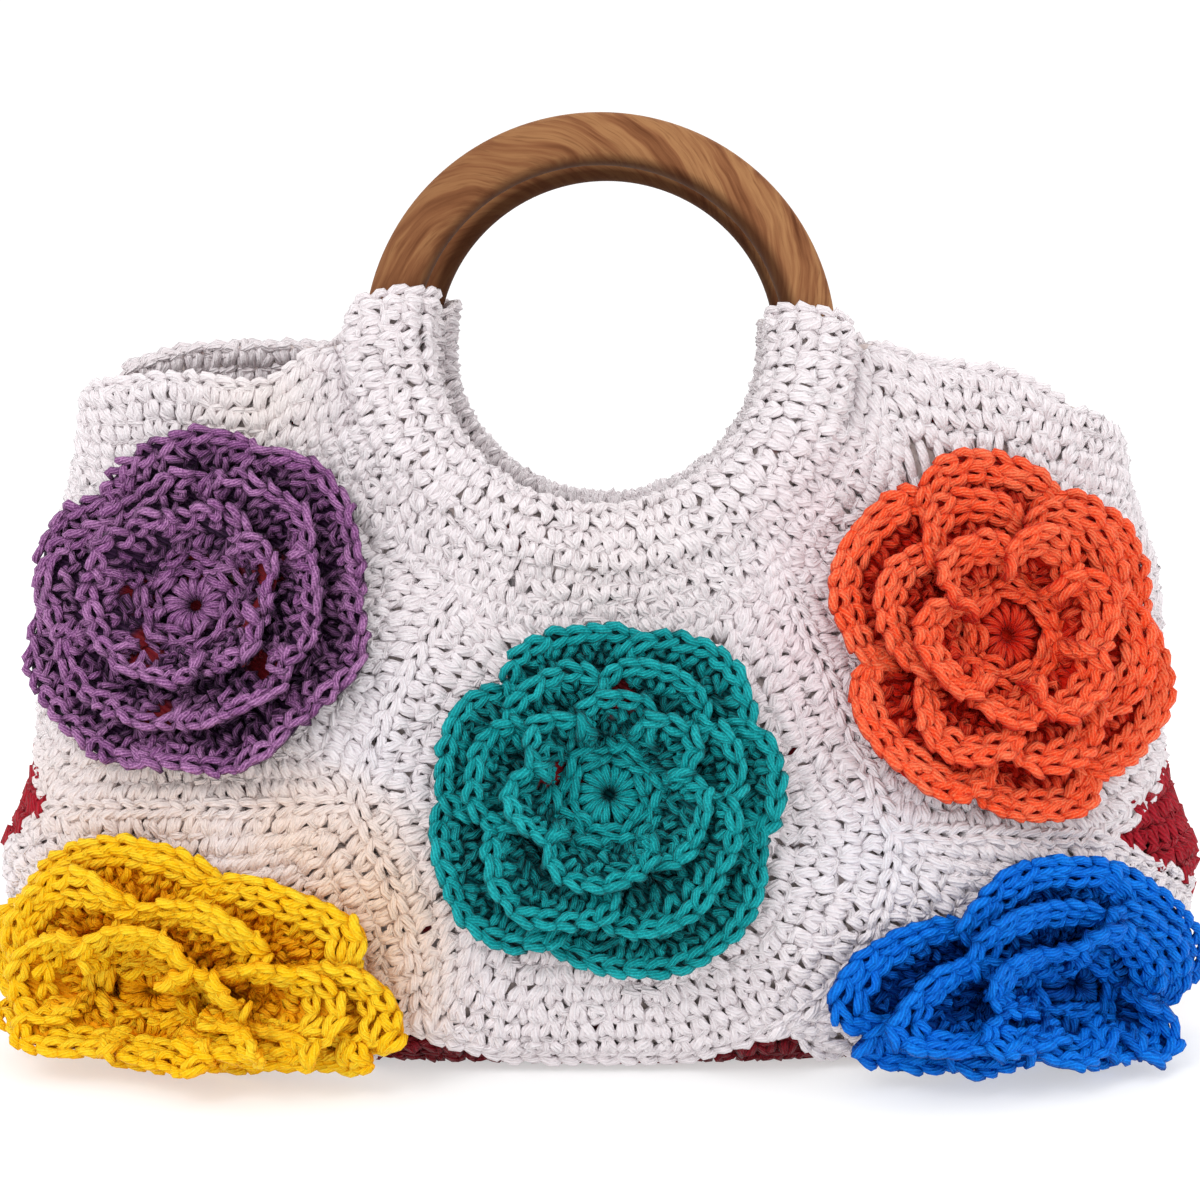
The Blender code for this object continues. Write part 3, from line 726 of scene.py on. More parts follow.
PEACH = (0.88, 0.62, 0.42)
BLUSH = (0.93, 0.62, 0.68)
SAND = (0.85, 0.73, 0.62)
COOL = (0.78, 0.82, 0.93)
WHITE_TINTS = (
    Stain(-110, 66, 42, PEACH, 0.50),
    Stain(-140, 60, 38, PEACH, 0.48),
    Stain(-68, 50, 34, PEACH, 0.75),
    Stain(-62, 30, 32, PEACH, 0.75),
    Stain(-80, 66, 26, PEACH, 0.50),
    Stain(62, 118, 30, BLUSH, 0.46),
    Stain(74, 96, 30, BLUSH, 0.42),
    Stain(60, 150, 26, BLUSH, 0.36),
    Stain(-95, 176, 26, SAND, 0.45),
    Stain(0, 134, 40, SAND, 0.25),
    Stain(70, 60, 34, COOL, 0.45),
    Stain(-60, 90, 34, COOL, 0.36),
)
WHITE_YARN = YarnFinish("white_cotton", "white_yarn", (0.865, 0.79, 0.815), (0.72, 0.62, 0.62),
                        (0.93, 0.88, 0.905), tints=WHITE_TINTS, gap_strength=0.30, groove_strength=0.25,
                        sheen=0.10, flecks=1.4, plies=6, twist=18.0)
# Painted shade: the base's yarn is the red yarn made darker, as the shade under the bag.
SHADED_BASE_YARN = YarnFinish("base_cotton_shaded", "red_yarn", (0.15, 0.002, 0.007), (0.020, 0.0, 0.001),
                       (0.24, 0.005, 0.015))
RED_YARN = YarnFinish("red_cotton", "red_yarn", (0.36, 0.003, 0.012), (0.030, 0.0, 0.002),
                      (0.52, 0.010, 0.030))
# Painted shade: the white ground is darker than the white yarn, as the shade between the stitches.
WHITE_CLOTH = ClothFinish("white_ground", "white_yarn", (0.80, 0.71, 0.69), (0.58, 0.47, 0.44),
                          (0.24, 0.020, 0.026), spot_share=0.36)
RED_CLOTH = ClothFinish("red_ground", "red_yarn", (0.12, 0.002, 0.006), (0.03, 0.0, 0.002), (0.1, 0.0, 0.0))
LINING_CLOTH = ClothFinish("red_lining", "red_yarn", (0.26, 0.008, 0.016), (0.10, 0.002, 0.006),
                           (0.1, 0.0, 0.0), scale=900.0)
WOOD = WoodFinish("ring_wood", "wood", (0.34, 0.165, 0.070), (0.225, 0.090, 0.038), (0.105, 0.034, 0.013))
FLOOR = FloorFinish("pale_floor", "")
# Left and right legs, the loop over them, and the two sides of a braided link, as (u, v, w) knots
LEFT_LEG = ((0.08, -0.56, -1.7), (-0.06, -0.36, 0.2), (-0.22, -0.02, 1.0), (-0.30, 0.30, 0.5),
            (-0.20, 0.54, -1.6))
RIGHT_LEG = ((-0.02, -0.54, -1.7), (0.14, -0.34, 0.1), (0.25, 0.02, 0.8), (0.27, 0.32, 0.3),
             (0.16, 0.56, -1.6))
TOP_LOOP = ((-0.58, 0.34, -1.2), (-0.22, 0.50, 0.35), (0.22, 0.54, 0.35), (0.58, 0.40, -1.2))
NEAR_SIDE = ((-0.58, -0.04, -1.2), (-0.30, -0.14, 0.2), (0.06, -0.34, 0.8), (0.42, -0.38, 0.5),
             (0.74, -0.22, -1.0))
FAR_SIDE = ((-0.58, 0.04, -1.3), (-0.30, 0.14, 0.1), (0.06, 0.34, 0.7), (0.42, 0.38, 0.4),
            (0.74, 0.22, -1.1))
ASKEW = 0.16
# Full yarns for the front, and plain ones with fewer faces for the back, the sides and the base
STITCH = Yarn(1.5, rings=5, jitter=0.45)
BAR = Yarn(1.3, sides=4, rings=4, jitter=0.45)
BRAID = Yarn(1.4, rings=5, jitter=0.35)
PLAIN_STITCH = Yarn(1.6, sides=4, rings=4, jitter=0.45)
PLAIN_BRAID = Yarn(1.5, sides=4, rings=4, jitter=0.35)


def add_cloth_stitches(shape: Shape, cells: Cells, leg: Yarn = STITCH, bar: Yarn = BAR) -> None:
    """Gives every cell two slanting legs and the loop that closes over them, a little askew."""
    cells = cells.turned(shape.rng.normal(size=len(cells.origin)) * ASKEW)
    shape.add_stitches(cells, LEFT_LEG, leg)
    shape.add_stitches(cells, RIGHT_LEG, leg)
    shape.add_stitches(cells, TOP_LOOP, bar)


def add_braid(shape: Shape, cells: Cells, yarn: Yarn = BRAID, lift: float = 0.0) -> None:
    """Gives every cell one link of a braid, which points along the row into the next."""
    shape.add_stitches(cells, NEAR_SIDE, yarn, lift)
    shape.add_stitches(cells, FAR_SIDE, yarn, lift)


@dataclass(frozen=True)
class BagBody:
    """The outer surface of the bag: rounded oblong sections stacked up it."""

    heights: tuple[float, ...] = (0, 6, 16, 32, 48, 60, 72, 90, 110, 131, 150, 165, 180, 205)
    half_widths: tuple[float, ...] = (
        134, 151, 163, 171, 172.5, 168, 164, 162, 162, 159.5, 153, 150, 148, 140)
    half_depths: tuple[float, ...] = (
        57, 68, 72.5, 74.5, 73.5, 70.5, 66.5, 60, 52.5, 44.5, 38.5, 34, 30.5, 25)
    squareness: float = 2.5
    floor_fade: float = 26.0
    flat_height: float = 90.0

    def half_width(self, height: Array) -> Array:
        """Half the bag's width at a height."""
        return table_curve(height, self.heights, self.half_widths)

    def half_depth(self, height: Array) -> Array:
        """Half the bag's depth at a height."""
        return table_curve(height, self.heights, self.half_depths)

    def point(self, angle: Array, height: Array, inset: float = 0.0) -> Array:
        """Point of the surface, or of one inset from it.

        The section is the superellipse whose reach at an angle is (|sin|^n + |cos|^n)^(-1/n), widened
        by the half width and half depth of its height.

        Args:
            angle: how far round from the middle of the front, in radians.
            height: height above the floor.
            inset: distance inside the surface.

        Returns:
            Points (..., xyz).
        """
        angle, height = np.broadcast_arrays(np.asarray(angle, float), np.asarray(height, float))
        across, along, n = np.sin(angle), np.cos(angle), self.squareness
        reach = (np.abs(across) ** n + np.abs(along) ** n) ** (-1 / n)
        share = reach * across
        x = (self.half_width(height) - inset * share**4) * share
        return np.stack([x, -(self.half_depth(height) - inset) * reach * along, height], axis=-1)

    def outward(self, angle: Array, height: Array) -> Array:
        """Unit normal, the cross product of two short steps, turned level near the floor."""
        around = self.point(angle + 1e-3, height) - self.point(angle - 1e-3, height)
        upward = self.point(angle, height + 0.2) - self.point(angle, np.maximum(height - 0.2, 0.0))
        normal = np.cross(around, upward)
        level = np.clip(height / self.floor_fade, 0.0, 1.0) ** 2
        drop = np.where(normal[..., 2] < 0, level, 1.0)
        return unit(np.stack([normal[..., 0], normal[..., 1], normal[..., 2] * drop], axis=-1))

    def front_angle(self, x: Array, height: Array) -> Array:
        """Angle round from the middle of the front where the surface has this x."""
        ratio = np.clip(np.asarray(x, float) / self.half_width(height), -0.9995, 0.9995)
        return np.arctan2(ratio, (1 - np.abs(ratio) ** self.squareness) ** (1 / self.squareness))

    def back_angle(self, x: Array, height: Array) -> Array:
        """The same on the back, always counted round the left side."""
        return math.pi - self.front_angle(x, height) - 2 * math.pi

    def walk(self, height: float) -> tuple[Array, Array]:
        """Angles all round the bag at a height, and the length walked to each."""
        angles = np.linspace(-1.5 * math.pi, math.pi, 901)
        return angles, line_lengths(self.point(angles, height))

    def to_arc(self, angle: Array) -> Array:
        """Length round the bag from the middle of the front, on the section that is laid flat."""
        angles, walked = self.walk(self.flat_height)
        return np.interp(angle, angles, walked) - np.interp(0.0, angles, walked)

    def to_angle(self, arc: Array) -> Array:
        """Angle round the bag at a length from the middle of the front."""
        angles, walked = self.walk(self.flat_height)
        return np.interp(arc + np.interp(0.0, angles, walked), walked, angles)

    def row(self, line: Array, above: Array, pitch: float, phase: float = 0.0, inset: float = 0.0) -> Cells:
        """Stitches along a line of (angle, height), each growing towards the line above it."""
        points = self.point(line[:, 0], line[:, 1], inset)
        up = self.point(above[:, 0], above[:, 1], inset) - points
        return Cells.on_line(points, up, self.outward(line[:, 0], line[:, 1]), pitch, phase)


BAG = BagBody()


class Hand(Enum):
    """The two sides of the bag."""

    LEFT = "left"
    RIGHT = "right"


class Facing(Enum):
    """The front and the back, with the sign of the direction that each faces."""

    FRONT = -1
    BACK = 1


@dataclass(frozen=True)
class Seam:
    """A side seam: angles of the gusset's two edges, in degrees, at a list of heights."""

    heights: tuple[float, ...]
    front: tuple[float, ...]
    back: tuple[float, ...]
    notch: float
    corner: float
    gusset_top: float
    foot: float = 3.8
    back_levels: tuple[float, ...] = (0.0, 0.035, 0.1, 0.24, 0.48, 0.75, 1.0)

    def stations(self, facing: Facing) -> Array:
        """Heights of the seam's corners."""
        if facing is Facing.BACK:
            return self.foot + (self.corner - self.foot) * np.array(self.back_levels)
        low = np.linspace(self.foot, self.notch, 6)
        return np.concatenate([low, np.linspace(self.notch, self.corner, 8)[1:]])

    def angle(self, facing: Facing, height: Array) -> Array:
        """Angle of one edge at a height, straight between the seam's corners."""
        at = self.stations(facing)
        table = self.front if facing is Facing.FRONT else self.back
        return np.interp(height, at, np.radians(table_curve(at, self.heights, table)))


SEAMS = {
    Hand.LEFT: Seam(
        (0, 20, 35, 52, 65, 75, 92, 130, 158, 163, 200),
        (-84, -86, -84, -72, -60.5, -72, -94, -97, -97, -97, -97),
        (-118, -120, -120, -119, -117, -115, -111, -103.5, -99.5, -97, -97),
        notch=65, corner=180.5, gusset_top=157.5,
    ),
    Hand.RIGHT: Seam(
        (0, 20, 33, 44, 59.5, 70, 82, 96, 130, 148, 153, 200),
        (84, 85, 80, 63, 49, 60, 88, 95, 97, 97, 97, 97),
        (118, 120, 120, 119, 117, 116, 113, 110, 102, 99.5, 97, 97),
        notch=59.5, corner=165.5, gusset_top=147.5,
    ),
}


@dataclass(frozen=True)
class RingPlace:
    """Where a wooden ring stands, and the way it leans."""

    name: str
    x: float
    y: float
    z: float
    facing: Facing
    lean: float = math.radians(13)

    def point(self, turn: Array, radius: Array, depth: Array) -> Array:
        """Point at a turn and radius in the ring's plane and a depth out of it."""
        way = self.facing.value
        up = (-way * math.sin(self.lean), math.cos(self.lean))
        out = (way * math.cos(self.lean), math.sin(self.lean))
        x = self.x + radius * np.cos(turn)
        y = self.y + radius * np.sin(turn) * up[0] + depth * out[0]
        z = self.z + radius * np.sin(turn) * up[1] + depth * out[1]
        return np.stack(np.broadcast_arrays(x, y, z), axis=-1)


RINGS = (RingPlace("front", 0, -27, 194, Facing.FRONT), RingPlace("back", 2, 27, 192, Facing.BACK))


@dataclass(frozen=True)
class RingHandle:
    """A wooden ring and the crocheted sleeve that wraps its lower half."""

    place: RingPlace
    radius: float = 57.9
    half_width: float = 7.1
    half_thickness: float = 6.0
    squareness: float = 2.6
    clearance: float = 0.35
    wall: float = 4.0
    sleeve_turns: tuple[float, float] = (-190.3, 5.3)
    sleeve_slants: tuple[float, float] = (4.3, -2.6)
    row: float = 5.3
    pitch: float = 5.0
    stitch_depth: float = 0.6
    cuff_depth: float = 1.5
    cuff_width: float = 4.6
    ground_depth: float = 1.9
    wood_grid: tuple[int, int] = (144, 28)
    sheet_width: float = 62.0

    def surface(self, turn: Array, around: Array, grow: float) -> Array:
        """Point of the ring's rounded oblong section, grown by some millimetres, at a turn."""
        across, along, n = np.cos(around), np.sin(around), self.squareness
        reach = (np.abs(across) ** n + np.abs(along) ** n) ** (-1 / n)
        radius = self.radius + (self.half_width + grow) * reach * across
        return self.place.point(turn, radius, (self.half_thickness + grow) * reach * along)

    def sleeve_ends(self, around: Array) -> tuple[Array, Array]:
        """Turns at which the sleeve begins and ends, at places round the section, in radians."""
        ends = (end + slant * np.cos(around) for end, slant in zip(self.sleeve_turns, self.sleeve_slants))
        return tuple(np.radians(end) for end in ends)

    def wood(self) -> bpy.types.Object:
        """The ring: its section carried all the way round."""
        shape = Shape(1)
        steps = (np.linspace(0, 2 * math.pi, count + 1)[:-1] for count in self.wood_grid)
        turn, around = np.meshgrid(*steps, indexing="ij")
        points = self.surface(turn, around, 0.0)
        first = shape.add_points(points.reshape(-1, 3), 0.5, 0.0)
        index = first + np.arange(turn.size).reshape(turn.shape)
        beside, ahead = np.roll(index, -1, axis=1), np.roll(index, -1, axis=0)
        corner = np.roll(beside, -1, axis=0)
        faces = np.stack([index, ahead, corner, beside], axis=-1).reshape(-1, 4)
        if self.place.facing is Facing.FRONT:
            faces = faces[:, ::-1]
        shape.add_faces(faces, np.zeros((len(faces), 4, 2)))
        piece = shape.build("wood_ring_" + self.place.name, WOOD)
        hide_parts("ring_handle_" + self.place.name)
        return piece

    def sleeve_rows(self) -> Cells:
        """Rows of stitches along the ring, side by side all round its section."""
        grow = self.clearance + self.wall - self.stitch_depth
        girth = line_lengths(self.surface(np.zeros(200), np.linspace(0, 2 * math.pi, 200), grow))[-1]
        count = int(round(girth / self.row))
        rows = []
        for number in range(count):
            around = (number + 0.5) * 2 * math.pi / count
            turn = np.linspace(*self.sleeve_ends(around), 161)
            step = 2 * math.pi / count
            line = self.surface(turn, around, grow)
            up = self.surface(turn, around + step, grow) - line
            out = self.surface(turn, around, grow + 1) - line
            rows.append(Cells.on_line(line, up, unit(out), self.pitch))
        return Cells.joined(rows)

    def cuffs(self) -> Cells:
        """A braid round the wood at each end of the sleeve."""
        rows = []
        around = np.linspace(0, 2 * math.pi, 60)
        for turn, way in zip(self.sleeve_ends(around), (1, -1)):
            line = self.surface(turn, around, self.clearance + self.wall - self.cuff_depth)
            out = unit(self.surface(turn, around, 6) - line)
            up = self.surface(turn + way * 0.02, around, 3) - self.surface(turn, around, 3)
            rows.append(Cells.on_line(line, unit(up) * self.cuff_width, out, self.pitch))
        return Cells.joined(rows)

    def sleeve(self) -> bpy.types.Object:
        """The tube of cloth round the wood, and the stitches over it."""
        ground = Shape(2)
        around = np.linspace(0, 2 * math.pi, 33)[:-1]
        turn = np.linspace(*self.sleeve_ends(around), 81)
        outer = self.surface(turn, around, self.clearance + self.wall - self.ground_depth)
        ground.add_sheet(outer, self.surface(turn, around, self.clearance), closed=True)
        cloth = ground.build("sleeve_ground_" + self.place.name, WHITE_CLOTH)
        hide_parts("sleeve_" + self.place.name)
        shape = Shape(3 + self.place.facing.value)
        leg = STITCH if self.place.facing is Facing.FRONT else PLAIN_STITCH
        add_cloth_stitches(shape, self.sleeve_rows(), leg)
        add_braid(shape, self.cuffs())
        stitches = shape.build("sleeve_stitches_" + self.place.name, WHITE_YARN)
        return cloth

    def build(self) -> None:
        """Makes the ring and its sleeve."""
        self.wood()
        self.sleeve()


@dataclass(frozen=True)
class Petals:
    """One round of six petals of a rose."""

    name: str
    root: float
    edge: float
    root_height: float
    edge_height: float
    notch: float
    ruffle: float
    shift: float
    rows: int


OUTER = Petals("outer", root=15.0, edge=49.5, root_height=0.4, edge_height=8.6, notch=0.22,
               ruffle=3.6, shift=0.0, rows=7)
MIDDLE = Petals("middle", root=13.8, edge=38.2, root_height=3.2, edge_height=12.8, notch=0.31,
                ruffle=4.2, shift=0.22, rows=5)
INNER = Petals("inner", root=12.6, edge=27.0, root_height=5.0, edge_height=15.6, notch=0.36,
               ruffle=4.2, shift=0.58, rows=4)


@dataclass(frozen=True)
class RoseCentre:
    """Sizes of a spoked centre: its hole, spokes and dome, and the rings of links round it.

    Each ring has a radius, a height, a width and a number of waves.
    """

    hole: float = 1.7
    spoke: float = 7.4
    rise: float = 3.2
    yarn: Yarn = Yarn(1.5, rings=6)
    rings: tuple[tuple[float, float, float, int], ...] = ((11.0, 6.0, 4.2, 7), (14.8, 6.4, 4.6, 6))
    link: float = 5.6
    dome_radii: tuple[float, ...] = (1.6, 5.0, 9.0, 11.6)
    dome_tops: tuple[float, ...] = (0.9, 3.2, 3.9, 2.6)
    dome_foot: float = 0.4


CENTRE = RoseCentre()


@dataclass(frozen=True)
class RoseStyle:
    """How a rose is worked: its yarn, its links, and how loose and how thick they are."""

    yarn: Yarn = Yarn(1.3, jitter=0.35)
    link: float = 5.4
    width: float = 4.5
    post: Yarn = Yarn(1.25, sides=4, rings=5, jitter=0.6)
    row: float = 3.9
    wobble: float = 1.0
    spokes: int = 15
    braids: int = 1
    notch_share: float = 1.0
    shade: float = 0.9
    sunk: float = 0.0


@dataclass(frozen=True)
class Rose:
    """A rose of three rounds of petals round a spoked centre, laid over the bag."""

    name: str
    look: YarnFinish
    x: float
    height: float
    left: float
    right: float
    up: float
    down: float
    pile: float
    notches: tuple[float, ...]
    style: RoseStyle = RoseStyle()
    seed: int = 0
    overlap: float = 0.06
    tuck: float = 2.2
    droop: float = 0.0
    lowest: float = 2.0
    easing: float = 4.0
    lobe_power: float = 0.42
    climb_power: float = 1.2
    edge_wave: float = 0.8
    height_wave: float = 1.1
    cloth_share: float = 0.3
    post_askew: float = 0.3
    post_depth: float = 0.4
    glimpse_radius: float = 3.4
    web_levels: tuple[float, float] = (-1.0, -2.2)
    web_grid: tuple[int, int] = (5, 15)

    def place(self, turn: Array, radius: Array, height: Array) -> Array:
        """Lays a flat polar place over the bag and raises it along the normal.

        The sideways part is walked along the section at the rose's height, and each half is drawn out
        or in by its own factor. The droop lowers the right half by a share of its sideways reach.
        The level then eases towards the lowest one along a hyperbola.

        Args:
            turn: direction in the rose's plane, in radians.
            radius: distance from its middle.
            height: height above the cloth.

        Returns:
            Points (..., xyz).
        """
        across, lift = np.cos(turn), np.sin(turn)
        side = radius * across * (self.left + (self.right - self.left) * eased(across))
        level = self.height + radius * lift * (self.down + (self.up - self.down) * eased(lift))
        spare = level - self.droop * np.maximum(side, 0.0) - self.lowest
        level = self.lowest + (spare + np.sqrt(spare**2 + self.easing**2)) / 2
        height = height * (self.pile + (1 - self.pile) * eased(lift))
        angles, walked = BAG.walk(self.height)
        start = np.interp(BAG.front_angle(self.x, self.height), angles, walked)
        angle = np.interp(start + side, walked, angles)
        return BAG.point(angle, level) + BAG.outward(angle, level) * height[..., None]

    def turn_at(self, count: Array) -> Array:
        """Direction after so many petals from the first notch, straight between the notches."""
        angles = np.concatenate([np.array(self.notches) + 360.0 * lap for lap in (-1, 0, 1)])
        return np.radians(np.interp(count, np.arange(len(angles)) - len(self.notches), angles))

    def petal(self, petals: Petals, number: int, tau: Array, part: Array, lift: Array | float = 0.0,
              shift: Array | float = 0.0) -> Array:
        """Point of one petal.

        The edge bulges as the sine of tau to a low power, the surface rises from root to edge with
        a power of part, and one end of each petal tucks under while the other lies over.

        Args:
            petals: the round that it belongs to.
            number: which of the six it is.
            tau: 0 to 1 across the petal.
            part: 0 at the root and 1 at the edge.
            lift: height added.
            shift: millimetres sideways.

        Returns:
            Points (..., xyz).
        """
        rng = np.random.default_rng(self.seed * 97 + number * 7 + int(petals.edge))
        swell, rise, slip = rng.normal(size=3) * self.style.wobble * np.array([0.9, 1.0, 0.03])
        phase, slower = rng.random(2) * 2 * math.pi
        turn = self.turn_at(number + petals.shift - self.overlap + (1 + 2 * self.overlap) * tau) + slip
        lobe = np.sin(math.pi * np.clip(tau, 0, 1)) ** self.lobe_power
        wave = self.edge_wave * self.style.wobble * np.sin(2.6 * math.pi * tau + phase)
        notch = petals.notch * self.style.notch_share
        edge = (petals.edge - 1.0 + swell + wave) * (1 - notch * (1 - lobe))
        radius = petals.root + (edge - petals.root) * part
        climb = petals.edge_height - petals.root_height + petals.ruffle * (lobe - 0.5) + rise
        swing = self.height_wave * self.style.wobble * np.sin(3 * math.pi * tau + slower)
        climb = climb + self.tuck * (tau - 0.5) + swing
        height = petals.root_height + climb * part**self.climb_power + lift
        return self.place(turn + shift / radius, radius, height)

    def edge_cells(self, petals: Petals, number: int, part: float, lift: float) -> Cells:
        """Links of the braid along a petal's edge.

        Each link leans halfway between the petal's slope and square to the edge, and its outward way is
        the petal's normal with a share of the cloth's, so that it keeps its shape where the petal folds.
        """
        tau = np.linspace(0, 1, 61)
        line = self.petal(petals, number, tau, part + 0 * tau, lift)
        slope = unit(line - self.petal(petals, number, tau, part - 0.12 + 0 * tau, lift))
        raised = self.petal(petals, number, tau, part + 0 * tau, lift + 1.0) - line
        along = unit(np.gradient(line, axis=0))
        out = np.cross(along, slope)
        out = out * np.sign(np.sum(out * raised, axis=1, keepdims=True))
        normal = unit(raised - along * np.sum(along * raised, axis=1, keepdims=True))
        out = unit(out + self.cloth_share * normal)
        square = np.cross(out, along)
        square = square * np.sign(np.sum(square * slope, axis=1, keepdims=True))
        return Cells.on_line(line, unit(slope + square) * self.style.width, out, self.style.link)

    def clear(self, cells: Cells) -> Cells:
        """The cells that leave the glimpses of the lining open."""
        spots = np.array([(spot.x, spot.z) for spot in self.look.glimpses]).reshape(-1, 2)
        across = cells.origin[:, None, 0] - spots[:, 0]
        up = cells.origin[:, None, 2] - spots[:, 1]
        return cells.chosen((np.hypot(across, up) > self.glimpse_radius).all(axis=1))

    def add_rows(self, shape: Shape, petals: Petals, number: int) -> None:
        """The braid along a petal's edge and the rows of stitches below it, down to the root."""
        style = self.style
        step = style.row / (petals.edge - petals.root)
        for row in range(style.braids):
            add_braid(shape, self.edge_cells(petals, number, 1.0 - row * step, 0.4 * row), style.yarn)
        for row in range(style.braids, petals.rows):
            cells = self.edge_cells(petals, number, 1.0 - row * step - 0.01, -self.post_depth)
            tall = Cells(cells.origin, cells.along, cells.up * (style.row / style.width), cells.out)
            tall = self.clear(tall.turned(shape.rng.normal(size=len(tall.origin)) * self.post_askew))
            # Painted shade: each row further down counts as lying deeper by the style's shade, which darkens
            # the posts under the braids.
            shape.add_stitches(tall, LEFT_LEG, style.post, -style.shade * row)
            shape.add_stitches(tall, RIGHT_LEG, style.post, -style.shade * row)

    def add_web(self, shape: Shape, petals: Petals, number: int) -> None:
        """The closed web that backs a petal; it counts as fully deep, so it is painted in the shade colour.
        """
        rows, columns = self.web_grid
        part, tau = np.meshgrid(np.linspace(0, 1.05, rows), np.linspace(0.01, 0.99, columns), indexing="ij")
        outer, inner = (self.petal(petals, number, tau, part, level) for level in self.web_levels)
        shape.add_sheet(outer, inner)

    def round_of(self, petals: Petals) -> bpy.types.Object:
        """One round of petals as a piece."""
        shape = Shape(self.seed * 10 + int(petals.edge))
        for number in range(len(self.notches)):
            self.add_rows(shape, petals, number)
            self.add_web(shape, petals, number)
        piece = shape.build("petals_" + petals.name + "_" + self.name, self.look)
        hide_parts(petals.name + "_petals_" + self.name)
        return piece

    def centre(self) -> bpy.types.Object:
        """The spoked centre: a dome of radial strands round a hole, inside a ring of links."""
        shape = Shape(self.seed * 10 + 5)
        spokes = self.style.spokes
        turn = (np.arange(spokes) * 2 * math.pi / spokes + shape.rng.normal(size=spokes) * 0.03)[:, None]
        part = np.linspace(0, 1, 6)[None]
        radius = CENTRE.hole + CENTRE.spoke * part
        arch = np.sin(math.pi * np.clip(part * 0.8 + 0.08, 0, 1))
        height = CENTRE.rise + CENTRE.rise * arch - self.style.sunk
        line = self.place(turn + 0 * part, radius + 0 * turn, height + 0 * turn)
        raised = self.place(turn + 0 * part, radius + 0 * turn, height + 1.0 + 0 * turn) - line
        size = 0.40 + 0.75 * part
        # Painted shade: the spokes count as lying 4.5 mm lower than they stand, which darkens them.
        level = height - 4.5 - self.style.sunk + 0 * turn
        shape.add_strands(line, raised, CENTRE.yarn, level, crest=3.6, relief=4.6, size=size)
        around = np.linspace(0, 2 * math.pi, 80)
        for middle, level, width, waves in CENTRE.rings:
            rise = level + 1.1 * np.sin(waves * around + 2.3 * self.seed)
            radius = middle + 0.9 * np.sin(waves * around + 1.7 * self.seed + middle)
            ring = self.place(around, radius, rise)
            wide = self.place(around, radius + 1.0, rise - 0.2)
            above = self.place(around, radius, rise + 1.0) - ring
            cells = Cells.on_line(ring, unit(wide - ring) * width, unit(above), CENTRE.link)
            # Painted shade: the links count as lying 0.6 mm lower, which darkens them a little.
            add_braid(shape, cells, self.style.yarn, -0.6)
        rim = np.linspace(0, 2 * math.pi, 25)[:-1]
        radii = np.array(CENTRE.dome_radii)[:, None]
        tops = np.array(CENTRE.dome_tops)[:, None]
        top = self.place(rim[None] + 0 * radii, radii + 0 * rim, tops + 0 * rim)
        low = self.place(rim[None] + 0 * radii, radii + 0 * rim, CENTRE.dome_foot + 0 * tops + 0 * rim)
        # Painted shade: the dome counts as fully deep, so it takes the shade colour.
        shape.add_sheet(top, low, closed=True, hub=True)
        piece = shape.build("centre_" + self.name, self.look)
        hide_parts("flower_centre_" + self.name)
        return piece

    def cover(self, arc: Array, height: Array) -> Array:
        """How far out under the rose a place on the flat cloth lies, in the rose's own radius."""
        side = arc - float(BAG.to_arc(BAG.front_angle(self.x, self.height)))
        level = height - self.height
        side = side / np.where(side < 0, self.left, self.right)
        level = level / np.where(level < 0, self.down, self.up)
        return np.hypot(side, level)

    def build(self) -> list[bpy.types.Object]:
        """Makes the centre and the three rounds of petals."""
        return [self.centre(), *(self.round_of(petals) for petals in (OUTER, MIDDLE, INNER))]


def yarn(name: str, colour: Colour, painted_shade: Colour, light: Colour, **options: float | Colour) -> YarnFinish:
    """A coloured yarn whose record slot has its name."""
    return YarnFinish(name + "_cotton", name + "_yarn", colour, painted_shade, light, **options)


def glimpses(x: float, z: float, *places: tuple[float, float]) -> tuple[Stain, ...]:
    """Small spots of the red lining's colour, painted darker as shade inside the bag, at places beside a
    rose's middle.
    """
    return tuple(Stain(x + across, z + up, 6.0, (0.17, 0.005, 0.009), 0.95) for across, up in places)


